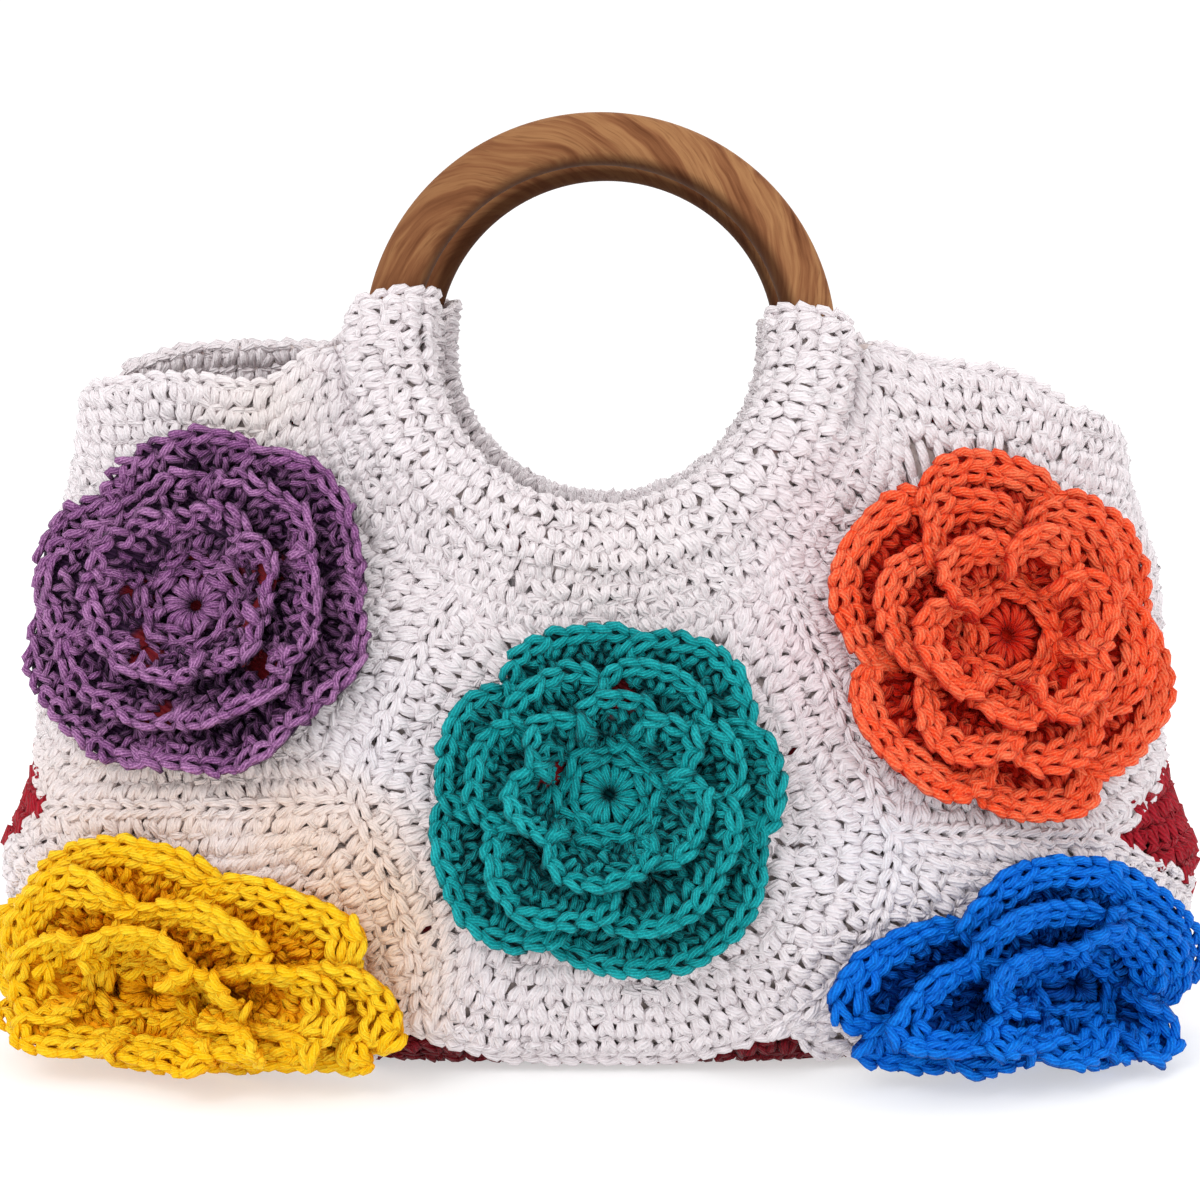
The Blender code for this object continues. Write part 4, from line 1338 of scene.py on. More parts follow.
BRAIDED = RoseStyle()
LOOSE = RoseStyle(Yarn(1.2, jitter=0.6), width=4.8, post=Yarn(1.15, sides=4, rings=5, jitter=0.8), wobble=1.2,
                  notch_share=0.6)
ROLLED = RoseStyle(Yarn(1.4, jitter=0.35), link=5.6, width=4.6, post=Yarn(1.35, sides=4, rings=5, jitter=0.6),
                   row=4.2, wobble=1.1, braids=2, notch_share=1.25, shade=1.15, sunk=1.4)
ROSES = (
    Rose("purple", yarn("purple", (0.225, 0.062, 0.225), (0.020, 0.004, 0.026), (0.58, 0.27, 0.55),
                        gap_strength=0.95,
                        glimpses=glimpses(-109, 121.6, (-2, 12), (8, 10), (20, 12), (-16, 4), (-13, -9),
                                          (20, -12), (15, 1), (-9, -27), (0, 0))),
         x=-109, height=121.6, left=0.98, right=1.00, up=0.90, down=0.88, pile=1.0,
         notches=(7.5, 77.4, 131.9, 184.9, 260.8, 317.1), style=LOOSE, seed=1),
    Rose("orange", yarn("orange", (1.0, 0.078, 0.015), (0.58, 0.008, 0.001), (1.0, 0.24, 0.11),
                        gap_strength=0.95, gloss=0.10),
         x=110, height=114.0, left=1.00, right=0.90, up=0.98, down=1.00, pile=1.0,
         notches=(3.3, 59.2, 119.4, 189.0, 248.8, 298.2), style=ROLLED, seed=2),
    Rose("teal", yarn("teal", (0.0, 0.285, 0.305), (0.0, 0.032, 0.040), (0.018, 0.50, 0.53), gloss=0.10,
                      glimpses=glimpses(2.4, 75.0, (-13.5, 6), (-10, 6.5), (2, 27))),
         x=2.4, height=75.0, left=0.95, right=0.92, up=0.84, down=0.90, pile=1.0,
         notches=(25.6, 80.5, 133.8, 184.6, 245.5, 345.1), style=BRAIDED, seed=3),
    Rose("yellow", yarn("yellow", (1.0, 0.54, 0.0), (0.98, 0.33, 0.0), (1.0, 0.74, 0.04), gap_strength=0.62,
                        groove_strength=0.12, gloss=0.08, sheen=0.0, flecks=1.6),
         x=-119, height=21.0, left=1.00, right=1.46, up=0.78, down=0.38, pile=1.5,
         notches=(22, 66, 140, 212, 292, 334), style=ROLLED, seed=4),
    Rose("blue", yarn("blue", (0.002, 0.150, 0.74), (0.0, 0.022, 0.19), (0.006, 0.25, 0.92), gloss=0.08,
                      sheen=0.0),
         x=127, height=23.0, left=1.42, right=0.86, up=0.68, down=0.42, pile=1.5,
         notches=(-28, 81, 135, 200, 245, 290), style=ROLLED, seed=5, droop=0.5),
)


@dataclass(frozen=True)
class CutLines:
    """The seams and rims of the bag as lines of (angle, height)."""

    purple_teal_yellow: tuple[float, float] = (-64.6, 72.7)
    teal_yellow_base: tuple[float, float] = (-46.7, 14.2)
    orange_teal_blue: tuple[float, float] = (77.0, 65.4)
    teal_blue_base: tuple[float, float] = (44.8, 13.4)
    neck_radius: float = 70.2
    neck_angles: tuple[float, float] = (-117.0, -50.0)
    front_rims: tuple = (((-78, 192.5), (-94.5, 182.5), (-120.4, 184.7), (-144.5, 182)),
                         ((76, 194), (91.5, 188.9), (111.5, 186.4), (129.4, 178)))
    back_rims: tuple = (((-80, 193), (-96, 194), (-122.7, 192.7), (-140, 187.5)),
                        ((77, 192), (92, 186), (111, 183), (129, 175)))
    base_edge: float = 3.5
    notch_rise: float = 10.2
    notch_reach_out: float = 13.0
    notch_reach_in: float = 23.0
    notch_fall: float = 1.1
    gap: float = 0.3
    spacing: float = 1.5

    def neck(self, place: RingPlace, first: float, last: float) -> Array:
        """The sleeve's outer edge between two turns of its ring."""
        spots = place.point(np.radians(np.linspace(first, last, 40)), self.neck_radius, 0.0)
        find = BAG.front_angle if place.facing is Facing.FRONT else BAG.back_angle
        return np.stack([find(spots[:, 0], spots[:, 2]), spots[:, 2]], axis=-1)

    def rim(self, facing: Facing, hand: Hand) -> Array:
        """The rim of the mouth from a neck out to the side."""
        rims = self.front_rims if facing is Facing.FRONT else self.back_rims
        spots = np.array(rims[0 if hand is Hand.LEFT else 1], float)
        find = BAG.front_angle if facing is Facing.FRONT else BAG.back_angle
        walked = line_lengths(spots)
        spread = np.linspace(0, walked[-1], 24)
        x, height = (table_curve(spread, walked, spots[:, i]) for i in range(2))
        return np.stack([find(x, height), height], axis=-1)

    def side(self, hand: Hand) -> tuple[Array, Array]:
        """The front edge of a gusset: from the foot to the notch, and from there to the rim."""
        seam = SEAMS[hand]
        low = np.linspace(seam.foot, seam.notch, 24)
        high = np.linspace(seam.notch, seam.corner, 40)
        return tuple(np.stack([seam.angle(Facing.FRONT, h), h], axis=-1) for h in (low, high))

    def bowed(self, start: tuple[float, float], end: tuple[float, float], bow: float) -> Array:
        """A seam that bows to its left: a straight line plus a parabola square to it."""
        t = np.linspace(0, 1, 30)
        span = np.array(end) - np.array(start)
        left = np.array([-span[1], span[0]]) / np.linalg.norm(span)
        line = np.array(start) + np.outer(t, span) + np.outer(4 * t * (1 - t) * bow, left)
        return np.stack([BAG.front_angle(line[:, 0], line[:, 1]), line[:, 1]], axis=-1)

    def base_height(self, angle: Array) -> Array:
        """Height of the base's edge, with a peak in each notch beside the middle ground."""
        x = BAG.point(angle, self.base_edge)[..., 0]
        peaks = []
        for notch in (self.teal_yellow_base[0], self.teal_blue_base[0]):
            reach = np.where(np.abs(x) < abs(notch), self.notch_reach_in, self.notch_reach_out)
            peaks.append(np.clip(1 - np.abs(x - notch) / reach, 0, 1) ** self.notch_fall)
        return self.base_edge + self.notch_rise * np.max(peaks, axis=0) * (np.cos(angle) > 0)

    def foot(self, first: float, last: float) -> Array:
        """The foot of the walls between two angles."""
        angle = np.linspace(first, last, 60)
        return np.stack([angle, self.base_height(angle) + self.gap], axis=-1)

    def seams(self) -> dict[str, Array]:
        """Every seam and rim of the front by name."""
        left, right = (float(a) for a in self.neck_angles)
        ring = RINGS[0]
        turns = np.radians(np.array(self.neck_angles))
        necks = ring.point(turns, self.neck_radius, 0.0)
        start_left, start_right = ((n[0], n[2]) for n in necks)
        side_yellow, side_purple = self.side(Hand.LEFT)
        side_blue, side_orange = self.side(Hand.RIGHT)
        notch_left = float(BAG.front_angle(*self.teal_yellow_base))
        notch_right = float(BAG.front_angle(*self.teal_blue_base))
        lines = {
            "purple_teal": self.bowed(start_left, self.purple_teal_yellow, -4.5),
            "orange_teal": self.bowed(start_right, self.orange_teal_blue, 0.5),
            "teal_yellow": self.bowed(self.purple_teal_yellow, self.teal_yellow_base, 4.0),
            "teal_blue": self.bowed(self.orange_teal_blue, self.teal_blue_base, 9.0),
            "side_yellow": side_yellow, "side_purple": side_purple,
            "side_blue": side_blue, "side_orange": side_orange,
            "neck_left": self.neck(ring, -180, left), "neck_middle": self.neck(ring, left, right),
            "neck_right": self.neck(ring, right, 0),
            "rim_left": self.rim(Facing.FRONT, Hand.LEFT), "rim_right": self.rim(Facing.FRONT, Hand.RIGHT),
            "foot_left": self.foot(float(side_yellow[0, 0]), notch_left),
            "foot_middle": self.foot(notch_left, notch_right),
            "foot_right": self.foot(notch_right, float(side_blue[0, 0])),
        }
        for name, start, end in (("purple_yellow", "purple_teal", "side_purple"),
                                 ("orange_blue", "orange_teal", "side_orange")):
            part = np.linspace(0, 1, 30)[:, None]
            lines[name] = lines[start][-1] + (lines[end][0] - lines[start][-1]) * part
        return lines

    def outline(self, name: str) -> Array:
        """The closed outline of one ground as (arc, height), with evenly spaced points."""
        s = self.seams()
        loops = {
            "purple": ("-purple_teal", "-neck_left", "rim_left", "-side_purple", "-purple_yellow"),
            "orange": ("-orange_teal", "neck_right", "rim_right", "-side_orange", "-orange_blue"),
            "teal": ("neck_middle", "orange_teal", "teal_blue", "-foot_middle", "-teal_yellow",
                     "-purple_teal"),
            "yellow": ("teal_yellow", "-foot_left", "side_yellow", "-purple_yellow"),
            "blue": ("teal_blue", "foot_right", "side_blue", "-orange_blue"),
        }
        lines = [s[key.lstrip("-")][::-1 if key[0] == "-" else 1] for key in loops[name]]
        loop = np.concatenate(lines)
        loop = np.stack([BAG.to_arc(loop[:, 0]), loop[:, 1]], axis=-1)
        return evenly(np.concatenate([loop, loop[:1]]), self.spacing)[:-1]


LINES = CutLines()


@dataclass(frozen=True)
class Fan:
    """Tall bare posts that stand out of the cloth above the orange rose."""

    spots: tuple[tuple[float, float, float], ...] = (
        (86.5, 155.0, -3.0), (90.5, 156.0, -2.8), (94.5, 157.0, -2.0), (98.0, 158.0, 0.6),
        (102.0, 157.5, -2.4), (105.0, 158.0, 1.4), (109.0, 158.5, 2.2))
    tall: float = 12.0
    left: float = 82.0
    right: float = 113.0
    low: float = 153.0
    high: float = 166.0
    yarn: Yarn = Yarn(1.45, sides=6, rings=8)

    def clear(self, cells: Cells) -> Cells:
        """The cells outside the fan."""
        x, y, z = cells.origin.T
        inside = (x > self.left) & (x < self.right) & (z > self.low) & (z < self.high) & (y < 0)
        return cells.chosen(~inside)

    def build(self) -> None:
        """Makes one arched strand for each post, from its foot up and a little sideways."""
        shape = Shape(44)
        foot = np.array(self.spots)
        part = np.linspace(0, 1, self.yarn.rings)
        x = foot[:, :1] + foot[:, 2:] * part
        height = foot[:, 1:2] + self.tall * part
        angle = BAG.front_angle(x, height)
        out = BAG.outward(angle, height)
        level = 1.6 * np.sin(math.pi * part)[None] - 0.8 + 0 * x
        line = BAG.point(angle, height) + out * level[..., None]
        shape.add_strands(line, out, self.yarn, level)
        shape.build("fan_posts", WHITE_YARN)


FAN = Fan()


@dataclass(frozen=True)
class Ground:
    """The white crocheted ground of one rose: rounds of stitches that follow its outline."""

    rose: Rose
    seed: int
    pitch: float = 5.0
    row: float = 5.4
    edge_gap: float = 4.4
    skip_radius: float = 34.0
    ground_inset: float = 1.9
    wall: float = 4.0
    most_rounds: int = 30
    sheet_parts: tuple[float, ...] = (0.08, 0.3, 0.5, 0.66, 0.8, 0.92, 0.996)

    def centre(self) -> Array:
        """The rose's middle on the flat cloth."""
        arc = float(BAG.to_arc(BAG.front_angle(self.rose.x, self.rose.height)))
        return np.array([arc, self.rose.height])

    def inset(self, outline: Array, distance: float) -> Array:
        """The outline moved inwards.

        Every point walks towards the rose's middle by the distance over the cosine between that way
        and the outline's normal, and the loop is then evened out.

        Args:
            outline: closed (arc, height) line.
            distance: millimetres inwards.

        Returns:
            The moved line.
        """
        way = self.centre() - outline
        far = np.linalg.norm(way, axis=1, keepdims=True)
        step = np.roll(outline, -1, axis=0) - np.roll(outline, 1, axis=0)
        normal = unit(np.stack([-step[:, 1], step[:, 0]], axis=-1))
        lean = np.abs(np.sum(normal * way / far, axis=1, keepdims=True))
        stretch = smooth_loop(1 / np.clip(lean, 0.75, 1.0), 4.0)
        moved = outline + way / far * np.minimum(distance * stretch, 0.92 * far)
        return smooth_loop(moved, 1.2 + 0.12 * max(distance, 0.0)) if distance > 0 else moved

    def on_bag(self, flat: Array) -> Array:
        """A flat (arc, height) line as (angle, height)."""
        return np.stack([BAG.to_angle(flat[:, 0]), flat[:, 1]], axis=-1)

    def rounds(self) -> Cells:
        """All the rounds of stitches, without those that the rose hides."""
        outline = LINES.outline(self.rose.name)
        rng = np.random.default_rng(self.seed)
        rows = []
        for number in range(self.most_rounds):
            distance = self.edge_gap + number * self.row
            flat = self.inset(outline, distance)
            beyond = self.inset(outline, distance - self.row)
            if self.rose.cover(flat[:, 0], flat[:, 1]).max() < self.skip_radius:
                break
            wave = rng.random() * 0.5
            flat, beyond = (np.concatenate([loop, loop[:2]]) for loop in (flat, beyond))
            cells = BAG.row(self.on_bag(flat), self.on_bag(beyond), self.pitch, wave)
            arc = BAG.to_arc(BAG.front_angle(cells.origin[:, 0], cells.origin[:, 2]))
            keep = self.rose.cover(arc, cells.origin[:, 2]) > self.skip_radius
            rows.append(cells.chosen(keep))
        return Cells.joined(rows)

    def cloth(self) -> tuple[bpy.types.Object, float]:
        """The closed sheet under the stitches, and its flat area in square millimetres."""
        outline = LINES.outline(self.rose.name)
        middle = self.centre()
        shape = Shape(self.seed)
        grids = []
        for inset in (self.ground_inset, self.wall):
            rows = []
            for part in self.sheet_parts:
                line = self.on_bag(middle + (outline[::3] - middle) * part)
                rows.append(BAG.point(line[:, 0], line[:, 1], inset))
            grids.append(np.stack(rows))
        shape.add_sheet(grids[0], grids[1], closed=True, hub=True)
        piece = shape.build("ground_" + self.rose.name, WHITE_CLOTH)
        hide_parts("motif_" + self.rose.name)
        beside = np.roll(outline, -1, axis=0)
        area = abs(np.sum(outline[:, 0] * beside[:, 1] - beside[:, 0] * outline[:, 1])) / 2
        return piece, float(area)

    def build(self) -> None:
        cloth, area = self.cloth()
        shape = Shape(self.seed + 50)
        add_cloth_stitches(shape, FAN.clear(self.rounds()))
        stitches = shape.build("stitches_" + self.rose.name, WHITE_YARN)
        outline = LINES.outline(self.rose.name)
        petals = self.rose.build()
        area * MM * MM


@dataclass(frozen=True)
class BackPanel:
    """The plain white back: level rows from the foot to the rim and the back sleeve."""

    pitch: float = 5.1
    row: float = 5.5
    wall: float = 4.0
    ground_inset: float = 1.9
    margin: float = 3.4
    highest: float = 190.0
    foot_share: float = 0.84
    below_top: float = 0.8
    lap: float = 0.006
    levels: tuple[float, ...] = (0.0, 0.03, 0.08, 0.16, 0.3, 0.45, 0.6, 0.75, 0.88, 1.0)
    flat: tuple[float, float] = (0.372, 0.19)
    area: float = 0.0585

    def top(self) -> Array:
        """The top edge as (x, height), from the left side to the right."""
        lines = [LINES.rim(Facing.BACK, Hand.LEFT)[::-1], LINES.neck(RINGS[1], -180, 0),
                 LINES.rim(Facing.BACK, Hand.RIGHT)]
        line = np.concatenate(lines)
        spots = BAG.point(line[:, 0], line[:, 1])[:, [0, 2]]
        angles = [seam.angle(Facing.BACK, seam.corner) for seam in SEAMS.values()]
        ends = [BAG.point(angle, seam.corner)[[0, 2]] for angle, seam in zip(angles, SEAMS.values())]
        return np.concatenate([ends[:1], spots, ends[1:]])

    def limits(self, height: Array) -> tuple[Array, Array]:
        """Angles of the left and right seam at a height, both counted round the left side."""
        height = np.asarray(height, float)
        left = SEAMS[Hand.LEFT].angle(Facing.BACK, height)
        right = SEAMS[Hand.RIGHT].angle(Facing.BACK, height) - 2 * math.pi
        return left, right

    def rows(self) -> Cells:
        """Level rows of stitches, cut off under the top edge."""
        top = self.top()
        found = []
        for height in np.arange(LINES.base_edge + self.margin, self.highest, self.row):
            left, right = self.limits(height)
            angle = np.linspace(right, left, 160)
            line = np.stack([angle, np.full(160, height)], axis=-1)
            above = line + np.array([0.0, self.row])
            cells = BAG.row(line, above, self.pitch)
            limit = np.interp(cells.origin[:, 0], top[:, 0], top[:, 1])
            found.append(cells.chosen(height < limit - self.margin))
        return Cells.joined(found)

    def cloth(self) -> bpy.types.Object:
        """The closed sheet under the stitches: columns from the foot up to the top edge."""
        top = self.top()
        angle = BAG.back_angle(top[:, 0], top[:, 1])
        part = np.array(self.levels)[:, None]
        foot = BAG.back_angle(top[:, 0] * self.foot_share, LINES.base_edge)
        height = LINES.base_edge + LINES.gap + (top[:, 1] - self.below_top - LINES.base_edge) * part
        angles = foot + (angle - foot) * part
        left, right = self.limits(height[:, 0]), self.limits(height[:, -1])
        angles[:, 0] = left[0] - self.lap
        angles[:, -1] = right[1] + self.lap
        outer = BAG.point(angles, height, self.ground_inset)
        shape = Shape(60)
        shape.add_sheet(outer, BAG.point(angles, height, self.wall))
        piece = shape.build("back_ground", WHITE_CLOTH)
        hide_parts("back_panel")
        return piece

    def build(self) -> None:
        """Makes the sheet and its stitches, in a left and a right half."""
        cloth = self.cloth()
        cells = self.rows()
        halves = []
        for hand, keep in ((Hand.LEFT, cells.origin[:, 0] < 0), (Hand.RIGHT, cells.origin[:, 0] >= 0)):
            shape = Shape(61 + len(halves))
            add_cloth_stitches(shape, cells.chosen(keep), PLAIN_STITCH)
            halves.append(shape.build("back_stitches_" + hand.value, WHITE_YARN))


@dataclass(frozen=True)
class Gusset:
    """A red side panel between the front grounds and the back."""

    hand: Hand
    pitch: float = 5.6
    row: float = 6.4
    wall: float = 4.0
    ground_inset: float = 1.9
    ground_gap: float = 0.6
    stitch_gap: float = 1.6
    first_row: float = 2.6
    flat_width: float = 0.08
    area: float = 0.0058

    def edges(self, height: Array, gap: float) -> tuple[Array, Array]:
        """Angles of the front and back edge at a height, drawn in by a gap."""
        seam = SEAMS[self.hand]
        front, back = seam.angle(Facing.FRONT, height), seam.angle(Facing.BACK, height)
        inwards = np.sign(back) * gap / BAG.half_depth(height)
        return front + inwards, back - inwards

    def build(self) -> None:
        """Makes the sheet and its rows of stitches."""
        seam = SEAMS[self.hand]
        height = np.linspace(seam.foot, seam.gusset_top, 40)[:, None]
        front, back = self.edges(height, self.ground_gap)
        angle = front + (back - front) * np.linspace(0, 1, 10)
        shape = Shape(70)
        outer = BAG.point(angle, height + 0 * angle, self.ground_inset)
        shape.add_sheet(outer, BAG.point(angle, height + 0 * angle, self.wall))
        cloth = shape.build("gusset_ground_" + self.hand.value, RED_CLOTH)
        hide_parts("gusset_" + self.hand.value)
        rows = []
        for level in np.arange(seam.foot + self.first_row, seam.gusset_top, self.row):
            front, back = (float(edge) for edge in self.edges(level, self.stitch_gap))
            line = np.stack([np.linspace(front, back, 30), np.full(30, level)], axis=-1)
            if line_lengths(BAG.point(line[:, 0], line[:, 1]))[-1] < 0.6 * self.pitch:
                continue
            rows.append(BAG.row(line, line + np.array([0.0, self.row]), self.pitch))
        shape = Shape(72)
        add_cloth_stitches(shape, Cells.joined(rows), PLAIN_STITCH)
        stitches = shape.build("gusset_stitches_" + self.hand.value, RED_YARN)


@dataclass(frozen=True)
class Base:
    """The red base: a flat sheet whose edge climbs to the walls, with stitches round its edge."""

    thickness: float = 3.0
    pitch: float = 5.6
    rings: tuple[float, ...] = (0.1, 0.35, 0.6, 0.8, 0.93)
    outer_edge: tuple[tuple[float, float], ...] = ((0.12, 1.6), (0.5, 1.4), (0.9, 1.6))
    levels: tuple[float, ...] = (2.2, 7.4, 12.0)
    row: float = 4.6
    stitch_inset: float = 0.8
    flat: tuple[float, float] = (0.31, 0.15)
    area: float = 0.039

    def build(self) -> None:
        """Makes the sheet from rings that run out from the middle, and the rounds of its edge."""
        angle = np.linspace(-math.pi, math.pi, 181)[:-1]
        edge = LINES.base_height(angle)
        ground = BAG.point(angle, 0 * angle)
        outside = [ground * part for part in self.rings]
        outside += [BAG.point(angle, edge * part, inset) for part, inset in self.outer_edge]
        flat = BAG.point(angle, 0 * angle, 6.0)
        inside = [flat * part + np.array([0, 0, self.thickness]) for part in self.rings]
        foot = np.full(len(angle), self.thickness)
        inside += [BAG.point(angle, foot + 0.05, 5.4), BAG.point(angle, foot + 0.1, 5.2),
                   BAG.point(angle, edge * 0.95, 3.9)]
        shape = Shape(80)
        shape.add_sheet(np.stack(outside), np.stack(inside), closed=True, hub=True, depth=0.6)
        cloth = shape.build("base_cloth", RED_CLOTH)
        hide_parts("base_panel")
        rows = []
        around = np.linspace(-math.pi, math.pi, 600)
        for level in self.levels:
            line = np.stack([around, np.full(600, level)], axis=-1)
            cells = BAG.row(line, line + np.array([0.0, self.row]), self.pitch, inset=self.stitch_inset)
            found = BAG.front_angle(cells.origin[:, 0], level)
            found = np.where(cells.origin[:, 1] < 0, found, math.pi)
            below = level < LINES.base_height(found) - 0.5
            rows.append(cells.chosen((level == self.levels[0]) | below))
        shape = Shape(81)
        add_cloth_stitches(shape, Cells.joined(rows), PLAIN_STITCH)
        stitches = shape.build("base_stitches", SHADED_BASE_YARN)


@dataclass(frozen=True)
class Lining:
    """The thin red lining, open at the mouth, that follows the walls and the base inside."""

    inset: float = 9.5
    thickness: float = 1.2
    floor: float = 3.5
    below_rim: float = 15.0
    side: float = math.radians(92)
    shrink: float = 0.84
    floor_parts: tuple[float, ...] = (0.2, 0.6)
    wall_parts: tuple[float, ...] = (0.0, 0.06, 0.14, 0.26, 0.4, 0.55, 0.72, 0.86, 1.0)
    flat: tuple[float, float] = (0.40, 0.52)
    area: float = 0.165

    def build(self) -> None:
        """Makes the sheet: each column runs from the floor up under one point of the rim."""
        front = np.concatenate([LINES.rim(Facing.FRONT, Hand.LEFT)[::-1], LINES.neck(RINGS[0], -172, -8),
                                LINES.rim(Facing.FRONT, Hand.RIGHT)])
        back = np.concatenate([LINES.rim(Facing.BACK, Hand.RIGHT)[::-1], LINES.neck(RINGS[1], -8, -172),
                               LINES.rim(Facing.BACK, Hand.LEFT)])
        back[:, 0] = back[:, 0] + 2 * math.pi
        right = [[self.side, SEAMS[Hand.RIGHT].corner]]
        left = [[2 * math.pi - self.side, SEAMS[Hand.LEFT].corner]]
        top = np.concatenate([front, right, back, left])
        height = top[:, 1] - self.below_rim
        foot_low = BAG.front_angle(BAG.point(top[:, 0], height)[:, 0] * self.shrink, self.floor)
        foot = np.where(np.cos(top[:, 0]) > 0, foot_low, math.pi - foot_low)
        foot = np.where(foot < top[:, 0] - math.pi, foot + 2 * math.pi, foot)
        sides = []
        for inset in (self.inset, self.inset + self.thickness):
            low = self.floor + inset - self.inset
            ground = BAG.point(foot, np.full(len(foot), low), inset)
            rows = [ground * np.array([part, part, 1]) for part in self.floor_parts]
            for part in self.wall_parts:
                rows.append(BAG.point(foot + (top[:, 0] - foot) * part, low + (height - low) * part, inset))
            sides.append(np.stack(rows))
        shape = Shape(90)
        shape.add_sheet(sides[0], sides[1], closed=True, hub=True, depth=0.5)
        piece = shape.build("lining_cloth", LINING_CLOTH)
        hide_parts("lining")


@dataclass(frozen=True)
class Braids:
    """The raised braids along the seams, necks and rims."""

    link: float = 5.2
    fillet_radii: tuple[float, ...] = (66.0, 70.4, 74.8, 79.2)
    fillet_reach: float = 16.0
    fillet_fall: float = 1.2
    facing_levels: tuple[float, ...] = (4.0, 10.0, 16.0)
    facing_row: float = 6.0
    facing_inset: float = 4.2

    def cells(self, line: Array, width: float, lift: float) -> Cells:
        """Links along one line of (angle, height), raised off the cloth."""
        line = evenly(np.stack([BAG.to_arc(line[:, 0]), line[:, 1]], axis=-1), 2.0)
        step = unit(np.gradient(line, axis=0))
        beside = line + np.stack([-step[:, 1], step[:, 0]], axis=-1) * width
        pair = [np.stack([BAG.to_angle(part[:, 0]), part[:, 1]], axis=-1) for part in (line, beside)]
        return BAG.row(*pair, self.link).lifted(lift)

    def fillet(self, place: RingPlace, first: float, last: float) -> Cells:
        """Rows round a ring that fill the crease between its sleeve and the bag.

        They lie on the bag's surface raised by a height that falls off outwards as a power of the way
        left, and that is larger beside the ring than below it.
        """
        turn = np.radians(np.linspace(first, last, 90))
        find = BAG.front_angle if place.facing is Facing.FRONT else BAG.back_angle
        lines = []
        for radius in self.fillet_radii:
            spot = place.point(turn, radius, 0.0)
            angle = find(spot[:, 0], spot[:, 2])
            rest = max(0.0, 1 - (radius - self.fillet_radii[0]) / self.fillet_reach) ** self.fillet_fall
            high = (4.6 + 3.0 * np.cos(turn) ** 2) * rest
            out = BAG.outward(angle, spot[:, 2])
            lines.append((BAG.point(angle, spot[:, 2]) + out * high[:, None], out))
        rows = [Cells.on_line(line, lines[i][0] - line, out, self.link)
                for i, (line, out) in enumerate(lines[1:])]
        return Cells.joined(rows)

    def facing(self, line: Array) -> Cells:
        """Three rows of stitches on the inner side of a rim, which face into the bag.

        The line is first carried on straight past both of its ends.
        """
        before = line[:1] + 3 * (line[:1] - line[1:2])
        after = line[-1:] + 2 * (line[-1:] - line[-2:-1])
        line = np.concatenate([before, line, after])
        rows = []
        for level in self.facing_levels:
            low = line - np.array([0.0, level])
            above = low + np.array([0.0, self.facing_row])
            cells = BAG.row(low, above, self.link, inset=self.facing_inset)
            rows.append(Cells(cells.origin, cells.along, cells.up, -cells.out))
        return Cells.joined(rows)

    def build(self) -> None:
        """Makes the white braids of the front, the back and the sides."""
        seams = LINES.seams()
        shape = Shape(40)
        for name in ("purple_teal", "orange_teal", "teal_yellow", "teal_blue", "purple_yellow",
                     "orange_blue"):
            add_braid(shape, self.cells(seams[name], 4.6, 0.7))
        for name in ("side_yellow", "side_purple", "side_blue", "side_orange"):
            add_braid(shape, self.cells(seams[name], 4.6, 0.2))
        for name in ("foot_left", "foot_middle", "foot_right"):
            add_braid(shape, self.cells(seams[name] + np.array([0, 1.2]), 4.2, 0.2))
        for name in ("neck_left", "neck_middle", "neck_right"):
            add_cloth_stitches(shape, self.cells(seams[name], 5.6, -0.7))
        add_cloth_stitches(shape, self.fillet(RINGS[0], -160, -20))
        for name in ("rim_left", "rim_right"):
            add_braid(shape, self.cells(seams[name] - np.array([0, 1.0]), 4.2, -0.6))
            add_braid(shape, self.cells(seams[name] - np.array([0, 1.6]), 4.2, -2.6))
            add_cloth_stitches(shape, self.facing(seams[name]), PLAIN_STITCH)
        shape.build("seam_braids_front", WHITE_YARN)
        shape = Shape(41)
        lines = [LINES.rim(Facing.BACK, hand) for hand in Hand]
        for line in lines:
            add_braid(shape, self.cells(line - np.array([0, 1.0]), 4.2, -0.6), PLAIN_BRAID)
            add_braid(shape, self.cells(line - np.array([0, 1.6]), 4.2, -2.6), PLAIN_BRAID)
            add_cloth_stitches(shape, self.facing(line), PLAIN_STITCH)
        add_cloth_stitches(shape, self.cells(LINES.neck(RINGS[1], 0, -180), 5.6, -0.7), PLAIN_STITCH)
        add_cloth_stitches(shape, self.fillet(RINGS[1], -20, -160), PLAIN_STITCH)
        for hand, seam in SEAMS.items():
            height = np.linspace(seam.foot, seam.corner, 60)
            angle = seam.angle(Facing.BACK, height) - (2 * math.pi if hand is Hand.RIGHT else 0)
            add_braid(shape, self.cells(np.stack([angle, height], axis=-1), 4.6, 0.2), PLAIN_BRAID)
        shape.build("seam_braids_back", WHITE_YARN)


@dataclass(frozen=True)
class Lamp:
    """One large soft light that looks at a point, in metres and watts."""

    name: str
    place: Triple
    aim: Triple
    size: float
    power: float

    def build(self) -> None:
        """Adds the light to the scene."""
        data = bpy.data.lights.new(self.name, "AREA")
        data.shape = "DISK"
        data.size = self.size
        data.energy = self.power
        lamp = bpy.data.objects.new(self.name, data)
        lamp.location = self.place
        way = unit(np.array(self.aim) - np.array(self.place))
        lamp.rotation_euler = (math.acos(-way[2]), 0.0, math.atan2(way[1], way[0]) - math.pi / 2)
        bpy.context.scene.collection.objects.link(lamp)


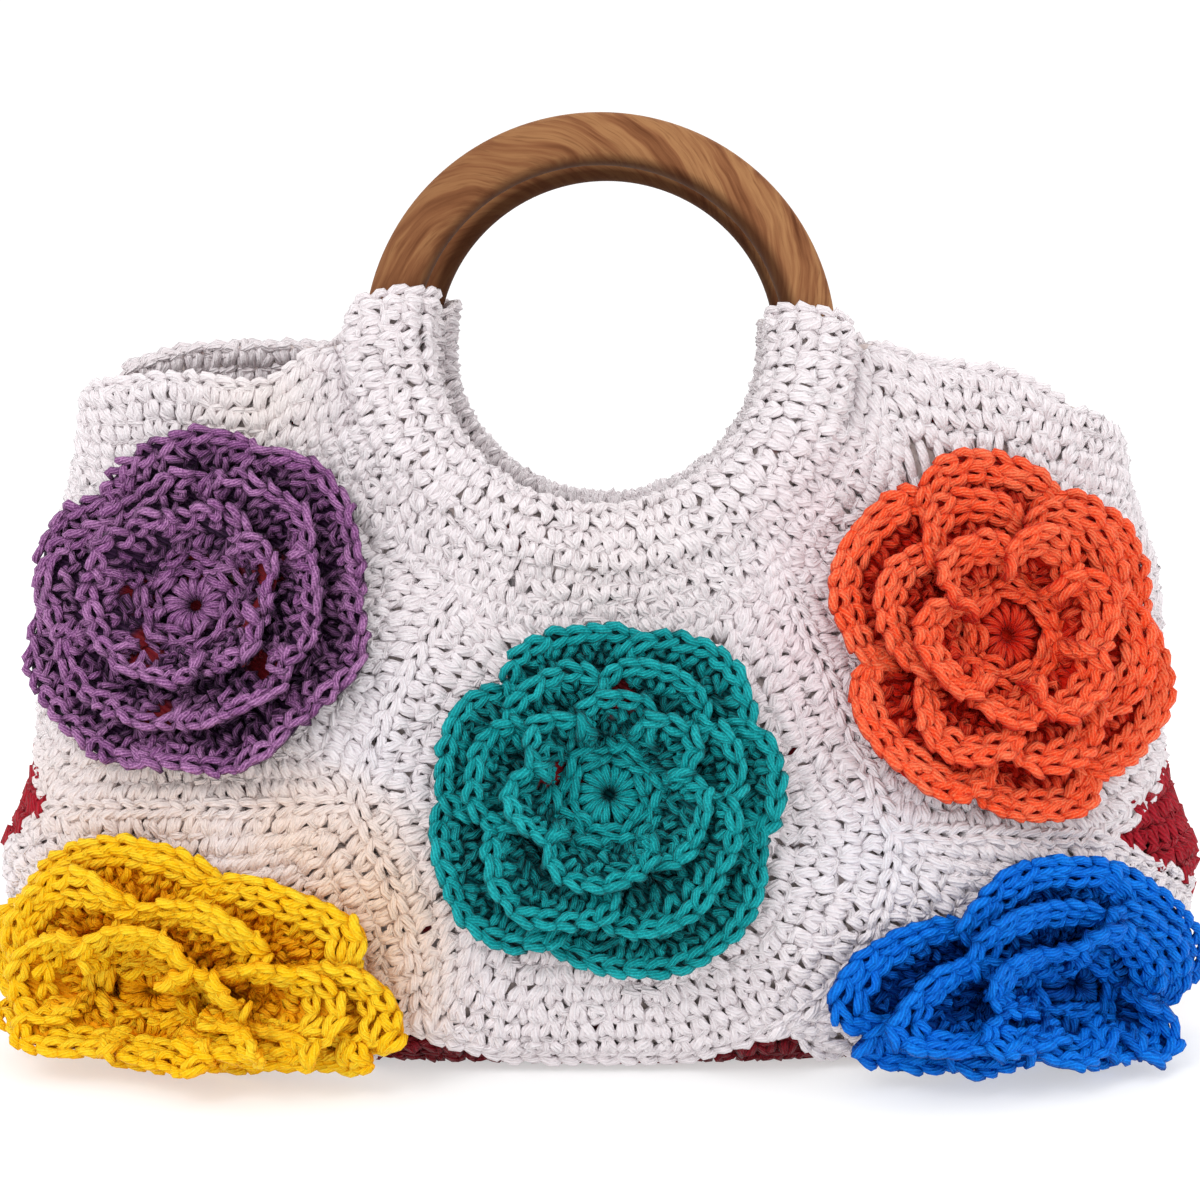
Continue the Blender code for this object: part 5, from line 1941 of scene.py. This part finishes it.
LAMPS = (
    Lamp("key_light", (-0.9, -1.2, 1.5), (0.0, 0.0, 0.1), 0.9, 10.0),
    Lamp("fill_light", (1.3, -1.0, 0.7), (0.0, 0.0, 0.1), 1.2, 3.0),
    Lamp("back_light", (0.3, 1.5, 1.3), (0.0, 0.0, 0.12), 1.2, 8.0),
)


@dataclass(frozen=True)
class Studio:
    """The camera of the photograph, a pale floor, a white surround and soft lights."""

    eye: Triple = (0.0, -0.577, 0.190)
    tilt: float = 83.0
    lens: float = 59.35
    surround: float = 1.1
    floor_half: float = 6.0

    def camera(self) -> None:
        """Makes the camera and gives it to the scene."""
        data = bpy.data.cameras.new("camera")
        data.lens = self.lens
        data.sensor_width = 36.0
        camera = bpy.data.objects.new("camera", data)
        camera.location = self.eye
        camera.rotation_euler = (math.radians(self.tilt), 0.0, 0.0)
        bpy.context.scene.collection.objects.link(camera)
        bpy.context.scene.camera = camera

    def surroundings(self) -> None:
        """A white world and a wide floor."""
        world = bpy.data.worlds.new("surround")
        world.use_nodes = True
        inputs = world.node_tree.nodes["Background"].inputs
        inputs["Color"].default_value = (1.0, 1.0, 1.0, 1.0)
        inputs["Strength"].default_value = self.surround
        bpy.context.scene.world = world
        bpy.context.scene.view_settings.view_transform = "Standard"
        mesh = bpy.data.meshes.new("floor")
        half = self.floor_half
        corners = [(-half, -half, 0.0), (half, -half, 0.0), (half, half, 0.0), (-half, half, 0.0)]
        mesh.from_pydata(corners, [], [(0, 1, 2, 3)])
        floor = bpy.data.objects.new("floor", mesh)
        bpy.context.scene.collection.objects.link(floor)
        floor.data.materials.append(FLOOR.material())

    def build(self) -> None:
        """Makes the camera, the lights and the floor."""
        self.camera()
        self.surroundings()
        for lamp in LAMPS:
            lamp.build()


def main() -> None:
    """Builds the studio and every sub-assembly in order."""
    logging.basicConfig(level=logging.INFO, format="%(message)s")
    Studio().build()
    builders: list[Callable[[], None]] = [RingHandle(place).build for place in RINGS]
    builders += [Base().build, Lining().build, BackPanel().build]
    builders += [Gusset(hand).build for hand in Hand]
    builders += [Ground(rose, 20 + rose.seed).build for rose in ROSES]
    builders += [Braids().build, FAN.build]
    for build in builders:
        build()


if __name__ == "__main__":
    main()
